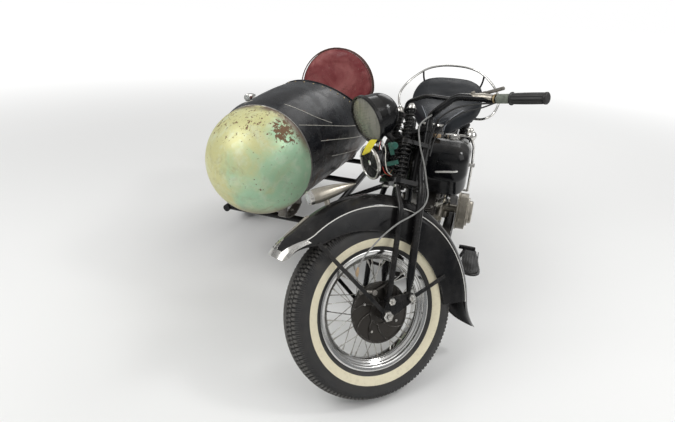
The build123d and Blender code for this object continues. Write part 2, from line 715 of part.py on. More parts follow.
def build_rear():
    """Rear fender with stays and tail lamp, footboards with pedals, and the drive chain."""
    crown = 402.0
    fender = Pos(0, 0, tyre_radius) * arch(crown, 362, 82, 296, 22, 196)
    stays = []
    for side in (1, -1):
        y = side * (stay_half + 10.5)
        stays.append(rod((-20, y, tyre_radius + 20), (-212, side * 87, tyre_radius + 262), 5))
        stays.append(rod((-24, y, tyre_radius + 6), (-330, side * 87, tyre_radius + 76), 5))
    keep("rear_fender", fender.fuse(*stays))
    lamp_at = math.radians(146)
    outward = Vector(math.cos(lamp_at), 0, math.sin(lamp_at))
    seat = Vector(0, 0, tyre_radius) + outward * (crown + seat_gap)
    lamp = Plane(origin=seat, z_dir=outward) * Cylinder(14, 40, align=(CENTRE, CENTRE, LOW))
    back = Vector(-1, 0, 0.12)
    lamp += Plane(origin=seat + outward * 62, z_dir=back) * Cylinder(31, 60)
    keep("tail_lamp", lamp)

    board_z = 234.0
    outline = hull([(918, 276, 44), (742, 262, 34), (918, 240, 8), (742, 240, 8)])
    boards = []
    board = Pos(0, 0, board_z) * extrude(outline, amount=9)
    for x in (770, 900):
        start_y = rail_half + frame_tube_radius - 1 + seat_gap
        support = [(x, start_y, rail_z), (x, 212, rail_z + 8), (x, 262, board_z + 1)]
        board += pipe(support, 8, [40])
    pivot_z = board_z - 12
    pedal = [disc(890, pivot_z, 206, 258, 11)]
    pedal.append(pipe([(890, 214, pivot_z), (868, 214, 256), (832, 236, 296)], 7, [24]))
    pedal.append(Pos(824, 246, 302) * Rot(0, -18, 0) * Box(30, 76, 14))
    board = joined([board, *pedal])
    keep("footboards", *both(board))

    outer = hull(
        [
            (0, tyre_radius, rear_sprocket_radius + chain_height),
            (clutch_x, clutch_z, gear_sprocket_radius + chain_height),
        ]
    )
    rear_wrap = (0, tyre_radius, rear_sprocket_radius + 2 * seat_gap)
    inner = hull([rear_wrap, (clutch_x, clutch_z, gear_sprocket_radius + seat_gap)])
    keep("drive_chain", plate(outer - inner, chain_inner_y, chain_inner_y + chain_width))


def build_fork(steering):
    """Rigid rear legs with their bridges, spring legs, coil springs, and rockers at the wheel."""
    wheel_z = steering.wheel_z
    pivot = (wheelbase - pivot_behind_axle, wheel_z + pivot_above_axle)
    lower = (wheelbase - front_leg_behind_axle, wheel_z + front_leg_above_axle)
    low_top = low_crown_along + crown_wall / 2
    spring_low = [steering.along(low_top + seat_gap, spring_ahead, side * spring_half) for side in (1, -1)]
    split = spring_length * spring_split
    mid = low_top + split
    rigid = [rod(steering.along(low_crown_along), steering.at(riser_base_z - 2), stem_radius)]
    for side in (1, -1):
        start = Vector(pivot[0], side * fork_half, pivot[1])
        bend = steering.at(leg_bend_z, leg_ahead, side * fork_half)
        run = (bend - start).normalized()
        tip = steering.at(riser_base_z, leg_ahead, side * riser_half)
        leg = [start + run * 60, bend, steering.at(leg_bend_z + 66, leg_ahead, side * crown_half), tip]
        rigid.append(pipe(leg, rear_leg_radius, [70, 90]))
        rigid.append(cone(start + run * 22, start + run * 61, 8.4, rear_leg_radius))
        rigid.append(rod(start, start + run * 24, 8.4))
        rigid.append(disc(pivot[0], pivot[1], side * (fork_half - 9), side * (fork_half + 9), 17))
    legs = [(leg_ahead, side * crown_half, rear_leg_radius + 3) for side in (1, -1)]
    perches = [(spring_ahead, side * spring_half, lower_spring_radius + 2) for side in (1, -1)]
    low_legs = [(leg_ahead, side * (crown_half + 3), rear_leg_radius + 3) for side in (1, -1)]
    crown_foot = low_crown_along - crown_wall / 2
    low_crown = steering.bridge([(0, 0, stem_radius + 8), *low_legs, *perches], crown_foot, crown_wall)
    crown_foot = steering_distance(steering, head_high_z) + 14
    high_crown = steering.bridge([(0, 0, stem_radius + 6), *legs], crown_foot, 14)
    mid_crown = steering.bridge([*legs, *perches], mid, mid_plate_wall)
    neck_room = rod(steering.along(mid - 5), steering.along(mid + 40), head_outer_radius + 9)
    rigid += [low_crown, high_crown, mid_crown - neck_room]
    lamp_foot = steering.along(mid + mid_plate_wall / 2, spring_ahead + 20)
    lamp_top = Vector(headlamp_centre[0] - 54, 0, headlamp_centre[2] - 60)
    rigid.append(rod(lamp_foot, lamp_top, 10))
    horn_back = Vector(horn_centre[0] - horn_depth + 6, horn_centre[1], horn_centre[2])
    horn_foot = steering.along(mid + mid_plate_wall / 2, spring_ahead + 10)
    rigid.append(rod(horn_foot, horn_back + Vector(-12, 0, 18), 7))
    rigid.append(rod(horn_back + Vector(-12, 0, 24), horn_back + Vector(-12, 0, -20), 7))
    rigid.append(rod(horn_back + Vector(-12, 0, 0), horn_back + Vector(-seat_gap, 0, 0), 12))
    rigid = joined(rigid)

    rods = []
    holes = []
    springs = []
    for side, base in zip((1, -1), spring_low):
        top = base + steer_direction * spring_length
        under_crown = base - steer_direction * 26
        start = Vector(lower[0], side * fork_half, lower[1])
        knee_z = leg_bend_z - 32
        share = (knee_z - start.Z) / (under_crown.Z - start.Z)
        knee = Vector(start.X + (under_crown.X - start.X) * share, side * fork_half, knee_z)
        tip = top + steer_direction * 16
        leg = pipe([start, knee, under_crown, tip], front_leg_radius, [56, 56])
        eye = disc(lower[0], lower[1], side * (fork_half - 8), side * (fork_half + 8), 15)
        cap = cone(top + steer_direction * seat_gap, tip + steer_direction * 6, 13, 9)
        rods.append(joined([leg, eye, cap]))
        holes.append(rod(base - steer_direction * 30, tip, front_leg_radius + rod_fit))
        break_at = base + steer_direction * (split - 2 * seat_gap)
        bore = front_leg_radius + rod_fit
        springs.append(spring(base, break_at, lower_spring_radius, 8, bore))
        high_start = base + steer_direction * (split + mid_plate_wall + seat_gap)
        springs.append(spring(high_start, top, upper_spring_radius, 7, bore))
    keep("rigid_fork", rigid - holes[0] - holes[1])
    keep("spring_fork", *rods)
    keep("fork_springs", *springs)

    inner = fork_half + front_leg_radius + seat_gap
    outer = inner + rocker_wall
    outline = hull([(wheelbase, wheel_z, 19), (*pivot, 17), (*lower, 15)])
    rocker = [plate(outline, inner, outer)]
    rocker.append(disc(pivot[0], pivot[1], outer, outer + 5.4, 7))
    rocker.append(disc(pivot[0], pivot[1], outer + 5.4, outer + 14, 12))
    rocker.append(disc(pivot[0], pivot[1], fork_half + 9 + seat_gap, inner, 14))
    rocker.append(disc(lower[0], lower[1], outer, outer + 9, 11))
    rocker.append(disc(wheelbase, wheel_z, outer + 5.4, outer + 18, 15))
    axle = disc(wheelbase, wheel_z, -outer - 20, outer + 20, axle_radius)
    pair = [form for piece in rocker for form in both(piece)]
    keep("fork_rockers", joined([axle, *pair]))
    return pivot, outer


def steering_distance(steering, z):
    """The distance along the axis from the ground at which the axis reaches height z."""
    return (z + steering.drop) / steer_direction.Z


def build_front_fender(steering, pivot, strap_y):
    """Deep front fender with its bright tip, straps and crown lamp."""
    wheel_z = steering.wheel_z
    wheel = (wheelbase, 0, wheel_z)
    crown, ridge, half = front_fender_crown, front_fender_ridge, front_fender_half
    fender = Pos(*wheel) * arch(crown, ridge, half, 240, front_fender_start_deg, front_fender_end_deg)
    fender += Pos(*wheel) * flap(crown, ridge, half, 300, front_fender_end_deg, front_flap_length)
    fender -= disc(wheelbase + valance_forward, wheel_z - valance_down, -200, 200, valance_radius)
    keep("front_fender", fender)
    start = front_fender_start_deg
    tip = Pos(*wheel) * arch(crown + 3.2, ridge + 2.5, half + 3.2, 352, start - 1.5, start + 3.0)
    keep("fender_tip", tip)
    strap_wall = 4.8

    def skirt_seat(x, z):
        """How far out a strap's end lies on the skirt, at x and z from the wheel's centre."""
        return half + 3 * (ridge - math.hypot(x, z)) / (ridge - 240) + seat_gap + 2.2

    braces = []
    for side in (1, -1):
        eye = disc(wheelbase, wheel_z, side * (strap_y + seat_gap), side * (strap_y + strap_wall), 20)
        eye -= disc(wheelbase, wheel_z, -200, 200, axle_radius + axle_clearance)
        bar_y = side * (strap_y + 4.4)
        y = skirt_seat(158, 315)
        bar = strap((wheelbase + 7.4, bar_y, wheel_z + 14.8), (wheelbase + 158, side * y, wheel_z + 315))
        braces.append(joined([eye, bar]))
        eye = disc(pivot[0], pivot[1], side * (strap_y + seat_gap), side * (strap_y + strap_wall), 16)
        eye -= disc(pivot[0], pivot[1], -200, 200, 7 + axle_clearance)
        y = skirt_seat(-296, 30)
        bar = strap((pivot[0] - 13, bar_y, pivot[1] + 1), (wheelbase - 296, side * y, wheel_z + 30))
        braces.append(joined([eye, bar]))
    keep("fender_braces", *braces)

    seat_x = wheelbase + 62
    lamp_z = wheel_z + crown + 36
    torpedo = revolve(
        make_face(
            [
                Line((0, 0, 62), (24, 0, 62)),
                Line((24, 0, 62), (27, 0, 30)),
                ThreePointArc((27, 0, 30), (20, 0, -50), (2, 0, -126)),
                Line((2, 0, -126), (0, 0, -126)),
                Line((0, 0, -126), (0, 0, 62)),
            ]
        ),
        axis=Axis.Z,
    )
    post = Pos(seat_x, 0, lamp_z - 60) * Cylinder(10, 60, align=(CENTRE, CENTRE, LOW))
    ring = Pos(*wheel) * disc(0, 0, -100, 100, crown + seat_gap)
    placed = Pos(seat_x, 0, lamp_z) * Rot(0, 90, 0) * torpedo
    keep("fender_lamp", placed.fuse(post - ring))


def headlamp_bucket(extra):
    """The lamp's bowl and its front ring about the Z axis, drawn larger all round by extra."""
    edge = headlamp_radius + extra
    round_radius = headlamp_radius * 0.86 + extra
    middle = -(headlamp_depth - headlamp_radius * 0.86)
    foot = middle - math.sqrt(round_radius**2 - 4)
    slant = round_radius * math.sqrt(0.5)
    bowl = ThreePointArc((round_radius, 0, middle), (slant, 0, middle - slant), (2, 0, foot))
    outline = [
        Line((0, 0, 12), (edge, 0, 12)),
        Line((edge, 0, 12), (edge, 0, 0)),
        Line((edge, 0, 0), (edge - 4, 0, 0)),
        Line((edge - 4, 0, 0), (round_radius, 0, middle)),
        bowl,
        Line((2, 0, foot), (0, 0, foot)),
        Line((0, 0, foot), (0, 0, 12)),
    ]
    return revolve(make_face(outline), axis=Axis.Z)


def build_controls(steering):
    """Handlebar with its cross tube, grips, lever, headlamp, horn and the front brake plate."""
    tip = steering.at(riser_base_z, leg_ahead, riser_half)
    bar_points = [
        tip + steer_direction * 0.8,
        tip + steer_direction * 30,
        (wheelbase - 408, 98, riser_base_z + 48),
        (wheelbase - 447, 168, riser_base_z + 76),
        (wheelbase - 485, 283, riser_base_z + 39),
        (wheelbase - 530, 460, riser_base_z - 1),
    ]
    bar = pipe(bar_points, bar_radius, [24, 60, 60, 60])
    cross_ends = (wheelbase - 436, 150, riser_base_z + 73)
    cross_top = (wheelbase - 402, 60, riser_base_z + 109)
    cross = [cross_ends, cross_top, *[(x, -y, z) for x, y, z in (cross_top, cross_ends)]]
    keep("handlebar", joined([*both(bar), pipe(cross, 8, [120, 120])]))
    end = Vector(*bar_points[-1])
    along = (end - Vector(*bar_points[-2])).normalized()
    grip = rod(end - along * (grip_length - 4), end + along * 4, grip_radius)
    grip -= rod(end - along * grip_length, end + along * 0.05, bar_radius + 0.05)
    sleeve_end = end - along * (grip_length - 3)
    sleeve = rod(sleeve_end - along * 46, sleeve_end, bar_radius + 2.2)
    sleeve -= rod(sleeve_end - along * 60, sleeve_end + along, bar_radius + 0.05)
    keep("grips", *both(grip), *both(sleeve))
    clamp_at = sleeve_end - along * 62
    clamp = rod(clamp_at, clamp_at + along * 14, bar_radius + 7)
    ahead = Vector(0.86, 0.28, -0.3).normalized()
    lug = clamp_at + along * 7 + ahead * (bar_radius + 4)
    blade = [lug + ahead * 20, lug + ahead * 34 + along * 50, lug + ahead * 30 + along * 160]
    lever = joined([clamp, rod(lug, lug + ahead * 24, 7), pipe(blade, 4.5, [60])])
    keep("hand_levers", lever - rod(clamp_at - along * 5, clamp_at + along * 40, bar_radius + 0.05))

    place = Pos(*headlamp_centre) * Rot(0, 90 + headlamp_tilt_deg, 0)
    recess = Pos(0, 0, 2) * Cylinder(headlamp_radius - 8, 12, align=(CENTRE, CENTRE, LOW))
    shell = place * (headlamp_bucket(0) - recess)
    keep("headlamp_shell", shell)
    lens_bulge = 13.0
    lens_r = headlamp_radius - 8 - seat_gap
    lens = [
        Line((0, 0, 2 + seat_gap), (lens_r, 0, 2 + seat_gap)),
        Line((lens_r, 0, 2 + seat_gap), (lens_r, 0, 9)),
        ThreePointArc((lens_r, 0, 9), (lens_r * 0.6, 0, 9 + lens_bulge * 0.68), (2, 0, 9 + lens_bulge)),
        Line((2, 0, 9 + lens_bulge), (0, 0, 9 + lens_bulge)),
        Line((0, 0, 9 + lens_bulge), (0, 0, 2 + seat_gap)),
    ]
    keep("headlamp_lens", place * revolve(make_face(lens), axis=Axis.Z))
    nodes["rigid_fork"] = [nodes["rigid_fork"][0] - place * headlamp_bucket(seat_gap)]

    horn_plane = Plane(origin=horn_centre, x_dir=(0, 1, 0), z_dir=(1, 0, 0))
    mouth = Pos(0, 0, -5) * Cylinder(horn_radius - 9, 5, align=(CENTRE, CENTRE, LOW))
    horn = Cylinder(horn_radius, 10, align=(CENTRE, CENTRE, HIGH)) - mouth
    can = Cylinder(horn_radius - 8, horn_depth - 16, align=(CENTRE, CENTRE, HIGH))
    keep("horn", horn_plane * (horn + Pos(0, 0, -10) * can))

    wheel_z = steering.wheel_z
    drum_edge = hub_half_width + drum_width
    cover = disc(wheelbase, wheel_z, drum_edge + 1.0, drum_edge + 6.0, drum_radius + 8)
    cover -= disc(wheelbase, wheel_z, -200, 200, axle_radius + axle_clearance)
    boss = disc(wheelbase, wheel_z, drum_edge + 6, fork_half + front_leg_radius, 20)
    boss -= disc(wheelbase, wheel_z, -200, 200, axle_radius + axle_clearance)
    shaft = disc(wheelbase + 10, wheel_z + 84, drum_edge + 4, drum_edge + 17, 8)
    arm_y = drum_edge + 13
    arm = rod((wheelbase + 10, arm_y, wheel_z + 84), (wheelbase - 50, arm_y, wheel_z + 92), 5)
    keep("brake_plate", joined([cover, boss, shaft, arm]))


def egg(inset, trim):
    """The sidecar body's form, drawn in by inset all round and at its tail by trim."""
    sections = [
        # x, half width, middle z, half height
        (nose_x, nose_radius, nose_z, nose_radius),
        (460, 288, 668, 284),
        (0, 286, 654, 262),
        (-330, 222, 652, 206),
        (-560, 118, 664, 112),
        (-650, 46, 674, 42),
    ]
    wires = []
    for index, (x, half, z, height) in enumerate(sections):
        shift = trim if index == len(sections) - 1 else 0
        plane = Plane(origin=(x + shift, body_y, z), x_dir=(0, 1, 0), z_dir=(1, 0, 0))
        wires.append(plane * Ellipse(half - inset, height - inset))
    return loft(wires)


def build_sidecar():
    """Sidecar frame, springs and stays, the egg-shaped body, seat, fender and lamp."""
    tube = car_tube_radius
    pieces = []
    for y in (car_inner_rail_y, car_outer_rail_y):
        pieces.append(rod((car_front_x, y, car_rail_z), (car_rear_x, y, car_rail_z), tube))
    spring_xs = (car_front_x - 30, car_rear_x + 60)
    for x in (*spring_xs, car_wheel_x):
        pieces.append(rod((x, car_inner_rail_y, car_rail_z), (x, car_outer_rail_y, car_rail_z), tube - 2))
    stub = car_wheel_y + hub_half_width + drum_width + 3
    arm_foot = (car_wheel_x, car_outer_rail_y, car_rail_z + 4)
    pieces.append(rod(arm_foot, (car_wheel_x, stub + 14, tyre_radius), tube))
    pieces.append(disc(car_wheel_x, tyre_radius, stub, stub + 20, 24))
    pieces.append(disc(car_wheel_x, tyre_radius, car_wheel_y - hub_half_width - 18, stub + 4, axle_radius))
    nut_y = car_wheel_y - hub_half_width
    pieces.append(disc(car_wheel_x, tyre_radius, nut_y - 16, nut_y - 2, 16))
    grip_radius_front = frame_tube_radius - 1
    front_clamp = Vector(wheelbase - 473.6, -70.4, 294)
    down = Vector(-48, -72, -256).normalized()
    front = rod(front_clamp - down * 18, front_clamp + down * 18, grip_radius_front + 9)
    pieces.append(front)
    pieces.append(rod((car_front_x - 30, car_inner_rail_y, car_rail_z), front_clamp, 15))
    rise = (520 - tyre_radius - 12) / (360 - 8)
    rear_clamp = Vector(80, -stay_half, tyre_radius + 12 + 72 * rise)
    stay_dir = Vector(1, 0, rise).normalized()
    pieces.append(rod(rear_clamp - stay_dir * 18, rear_clamp + stay_dir * 18, frame_tube_radius + 7))
    pieces.append(rod((car_rear_x + 130, car_inner_rail_y, car_rail_z), rear_clamp, 15))
    high_z = 556.0
    seat_dir = Vector(seat_tube_foot_x - seat_tube_x, 0, rail_z - seat_tube_z).normalized()
    high_clamp = Vector(seat_tube_at(high_z), 0, high_z)
    pieces.append(rod(high_clamp - seat_dir * 16, high_clamp + seat_dir * 16, backbone_radius + 8))
    pieces.append(rod((560, car_inner_rail_y, car_rail_z), high_clamp, 13))
    bores = [
        rod(front_clamp - down * 60, front_clamp + down * 60, grip_radius_front + 0.05),
        rod(rear_clamp - stay_dir * 60, rear_clamp + stay_dir * 60, frame_tube_radius - 2 + 0.05),
        rod(high_clamp - seat_dir * 60, high_clamp + seat_dir * 60, backbone_radius - 1 + 0.05),
    ]
    frame = joined(pieces) - bores[0] - bores[1] - bores[2]
    keep("sidecar_chassis", frame.solids().sort_by(SortBy.VOLUME)[-1])

    form = egg(0, 0)
    shell = form - egg(sheet, sheet)
    cut = make_face(
        [
            Line((480, 1100), (480, 964)),
            Line((480, 964), (214, 772)),
            ThreePointArc((214, 772), (96, 738), (-24, 770)),
            Line((-24, 770), (-150, 776)),
            Line((-150, 776), (-150, 1100)),
            Line((-150, 1100), (480, 1100)),
        ]
    )
    shell -= plate(cut, body_y - 400, body_y + 400)
    keep("sidecar_body", shell)
    leaves = []
    leaf_half = 100.0
    leaf_wall = 8.0
    low_z = car_rail_z + tube - 2 + seat_gap
    for x in spring_xs:
        outline = make_face(
            [
                ThreePointArc((x - leaf_half, low_z + 34), (x, low_z), (x + leaf_half, low_z + 34)),
                Line((x + leaf_half, low_z + 34), (x + leaf_half, low_z + 34 + leaf_wall)),
                ThreePointArc(
                    (x + leaf_half, low_z + 34 + leaf_wall),
                    (x, low_z + leaf_wall),
                    (x - leaf_half, low_z + 34 + leaf_wall),
                ),
                Line((x - leaf_half, low_z + 34 + leaf_wall), (x - leaf_half, low_z + 34)),
            ]
        )
        for y in (body_y - 100, body_y + 100):
            leaf = [plate(outline, y - 22, y + 22)]
            for end in (x - leaf_half + 12, x + leaf_half - 12):
                post = Pos(end, y, low_z + 34) * Box(22, 40, 160, align=(CENTRE, CENTRE, LOW))
                leaf.append(under(post, form))
            leaves.append(joined(leaf))
    keep("sidecar_springs", *leaves)

    nose = Pos(nose_x + seat_gap, body_y, nose_z) * (Sphere(nose_radius) - Sphere(nose_radius - sheet))
    nose -= Pos(nose_x + seat_gap, body_y, nose_z) * Box(600, 600, 600, align=(HIGH, CENTRE, CENTRE))
    keep("sidecar_nose", nose)

    floor = Pos(340, body_y, floor_z) * Box(900, 400, 7, align=(CENTRE, CENTRE, LOW))
    floor = floor & egg(sheet + seat_gap, sheet + seat_gap)
    seat_z = 500.0
    base = Pos(160, body_y, floor_z + 7) * Box(500, 236, seat_z - floor_z - 7, align=(CENTRE, CENTRE, LOW))
    back_x = -66.0
    lean = Vector(0.9945, 0, 0.105)
    foot = Plane(origin=(back_x, body_y, seat_z + 1.4), x_dir=(0, 1, 0), z_dir=lean)
    shoulder_z = 300.0
    outline = make_face(
        [
            Line((-seat_foot_half, 0), (seat_foot_half, 0)),
            Line((seat_foot_half, 0), (seat_foot_half + 22, 250)),
            Line((seat_foot_half + 22, 250), (seat_half, shoulder_z + 40)),
            ThreePointArc(
                (seat_half, shoulder_z + 40), (0, shoulder_z + 40 + seat_half), (-seat_half, shoulder_z + 40)
            ),
            Line((-seat_half, shoulder_z + 40), (-seat_foot_half - 22, 250)),
            Line((-seat_foot_half - 22, 250), (-seat_foot_half, 0)),
        ]
    )
    board = foot * Pos(0, 0, -10) * extrude(outline, amount=10)
    keep("sidecar_seat_frame", joined([floor, base]), board)
    keep("sidecar_backrest", foot * Pos(0, 0, seat_gap) * extrude(outline, amount=52))
    cushion = Pos(204, body_y, seat_z + seat_gap) * Box(396, 430, 108, align=(CENTRE, CENTRE, LOW))
    cushion = fillet(cushion.edges().filter_by(Axis.Z), 36)
    keep("sidecar_cushion", cushion)

    centre = (car_wheel_x, car_wheel_y, tyre_radius)
    crown = 418.0
    fender = Pos(*centre) * arch(crown, 376, 86, 300, 8, 186)
    stays = []
    for angle in (42, 138):
        a = math.radians(angle)
        foot_at = (car_wheel_x + 110 * math.cos(a), car_outer_rail_y, car_rail_z + tube + 7)
        end = (car_wheel_x + 322 * math.cos(a), car_wheel_y + 84, tyre_radius + 322 * math.sin(a))
        stays.append(rod(foot_at, end, 9))
    ends = [(x, car_outer_rail_y, car_rail_z) for x in (car_front_x, car_rear_x)]
    rail = rod(*ends, tube + seat_gap)
    keep("sidecar_fender", joined([fender, *stays]) - rail)
    lamp_form = revolve(
        make_face(
            [
                Line((0, 0, 40), (20, 0, 40)),
                Line((20, 0, 40), (23, 0, 18)),
                ThreePointArc((23, 0, 18), (15, 0, -38), (2, 0, -72)),
                Line((2, 0, -72), (0, 0, -72)),
                Line((0, 0, -72), (0, 0, 40)),
            ]
        ),
        axis=Axis.Z,
    )
    lamp = Pos(car_wheel_x + 4, car_wheel_y, tyre_radius + crown + 30) * Rot(0, 90, 0) * lamp_form
    post = Cylinder(8, 40, align=(CENTRE, CENTRE, LOW))
    post = Pos(car_wheel_x + 4, car_wheel_y, tyre_radius + crown - 10) * post
    ring = Pos(*centre) * disc(0, 0, -100, 100, crown + seat_gap)
    keep("sidecar_lamp", lamp.fuse(post - ring))


STEERED = (
    "rigid_fork spring_fork fork_springs fork_rockers front_fender fender_tip fender_braces handlebar grips "
    "hand_levers headlamp_shell headlamp_lens horn brake_plate fender_lamp front_tyre front_rim front_hub"
).split()

probe = (Pos(wheelbase, 0, tyre_radius) * tyre()).rotate(steering_axis(0), -parked_steer)
front_drop = probe.bounding_box().min.Z
head = Steering(front_drop)
build_wheels(front_drop)
build_frame(head)
build_engine()
build_tanks()
build_seat()
build_rear()
rocker_pivot, rocker_outer = build_fork(head)
build_front_fender(head, rocker_pivot, rocker_outer)
build_controls(head)
build_sidecar()

steer_line = steering_axis(front_drop)
for name in STEERED:
    nodes[name] = [solid.rotate(steer_line, -parked_steer) for solid in nodes[name]]

flat = {name: [solid for shape in shapes for solid in shape.solids()] for name, shapes in nodes.items()}
boxes = [solid.bounding_box() for solids in flat.values() for solid in solids]
low = Vector(*[min(getattr(box.min, axis) for box in boxes) for axis in "XYZ"])
high = Vector(*[max(getattr(box.max, axis) for box in boxes) for axis in "XYZ"])
shift = Vector(-(low.X + high.X) / 2, -(low.Y + high.Y) / 2, -low.Z)

os.makedirs("parts", exist_ok=True)
for name, solids in flat.items():
    export_step(Compound(children=[Pos(shift) * solid for solid in solids]), f"parts/{name}.step")
print("front drop", round(front_drop, 3), "shift", shift, "size", high - low)
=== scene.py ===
"""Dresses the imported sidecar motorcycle: finishes, tyres, spokes, springs, soft goods and small trim.

Sizes in the classes are drawing sizes in millimetres, counted from the ground under the rear axle:
+X forward, +Y to the rider's left, +Z up. Yard turns them into places in the scene.
"""

import json
import logging
import math
import random
from dataclasses import dataclass, field
from enum import Enum
from typing import Callable, Iterable, Optional, Sequence, TypeVar

import bmesh
import bpy
from mathutils import Matrix, Vector, noise
from mathutils.bvhtree import BVHTree

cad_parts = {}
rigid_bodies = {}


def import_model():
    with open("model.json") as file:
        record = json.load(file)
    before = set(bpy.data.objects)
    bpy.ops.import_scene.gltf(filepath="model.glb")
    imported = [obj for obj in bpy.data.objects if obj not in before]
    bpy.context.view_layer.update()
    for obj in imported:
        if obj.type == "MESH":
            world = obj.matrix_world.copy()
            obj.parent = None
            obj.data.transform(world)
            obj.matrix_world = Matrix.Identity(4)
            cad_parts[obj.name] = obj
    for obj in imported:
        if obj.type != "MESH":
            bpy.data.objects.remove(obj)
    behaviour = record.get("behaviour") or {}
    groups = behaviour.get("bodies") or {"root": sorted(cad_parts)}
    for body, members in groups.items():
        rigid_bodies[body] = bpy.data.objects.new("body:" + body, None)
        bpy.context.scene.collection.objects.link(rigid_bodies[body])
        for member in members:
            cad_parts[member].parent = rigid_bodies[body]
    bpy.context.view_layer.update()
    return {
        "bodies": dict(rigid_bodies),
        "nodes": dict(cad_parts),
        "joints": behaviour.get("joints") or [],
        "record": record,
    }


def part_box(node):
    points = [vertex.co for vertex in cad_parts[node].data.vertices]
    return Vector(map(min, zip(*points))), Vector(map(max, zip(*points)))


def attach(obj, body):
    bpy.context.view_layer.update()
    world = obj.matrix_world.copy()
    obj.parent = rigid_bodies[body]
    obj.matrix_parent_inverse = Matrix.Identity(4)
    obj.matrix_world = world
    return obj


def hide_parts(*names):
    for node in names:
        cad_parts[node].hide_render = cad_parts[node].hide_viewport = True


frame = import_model()
log = logging.getLogger("outfit")

Colour = tuple[float, float, float]
Point = tuple[float, float, float]
Value = TypeVar("Value", float, Vector)

WHEELBASE = 1500.0
TYRE_RADIUS = 336.5
FENDER_CROWN = 425.0
SIDECAR_WHEEL = (250.0, -1222.0, TYRE_RADIUS)
SIDECAR_MIDDLE = -750.0


class Side(Enum):
    """The rider's two sides."""

    LEFT = 1
    RIGHT = -1


class Body(Enum):
    """The rigid bodies that a piece can ride on."""

    CHASSIS = "chassis"
    STEERING = "steering"
    FRONT_WHEEL = "front_wheel"
    REAR_WHEEL = "rear_wheel"
    SIDECAR_WHEEL = "sidecar_wheel"


@dataclass
class Yard:
    """Turns drawing sizes in millimetres into places in the scene, in metres."""

    rake_deg: float = 28.0
    parked_deg: float = 49.8
    foot_x: float = 1590.0
    drop: float = 3.922

    def __post_init__(self) -> None:
        """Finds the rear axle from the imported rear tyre."""
        low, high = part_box("rear_tyre")
        self.origin = Vector(((low[0] + high[0]) / 2, (low[1] + high[1]) / 2, 0.0))
        rake = math.radians(self.rake_deg)
        axis = Vector((-math.sin(rake), 0.0, math.cos(rake)))
        foot = self.at((self.foot_x, 0.0, -self.drop))
        turn = Matrix.Rotation(-math.radians(self.parked_deg), 4, axis)
        self.steer = Matrix.Translation(foot) @ turn @ Matrix.Translation(-foot)
        self.axis = axis

    def at(self, point: Sequence[float]) -> Vector:
        """A drawing point as a place in the scene."""
        return Vector(point) / 1000.0 + self.origin

    def turned(self, point: Sequence[float]) -> Vector:
        """A drawing point of the straight front end, as it stands when parked."""
        return self.steer @ self.at(point)

    def along(self, distance: float, ahead: float = 0.0, left: float = 0.0) -> Point:
        """A drawing point on the steering axis, moved squarely ahead of it and to the left.

        Args:
            distance: Distance along the axis from the ground.
            ahead: Distance ahead of the axis, square to it.
            left: Distance to the rider's left.

        Returns:
            The point in drawing millimetres, front end straight.
        """
        square = Vector((self.axis.z, 0.0, -self.axis.x))
        place = Vector((self.foot_x, 0.0, -self.drop)) + self.axis * distance + square * ahead
        return (place.x, left, place.z)


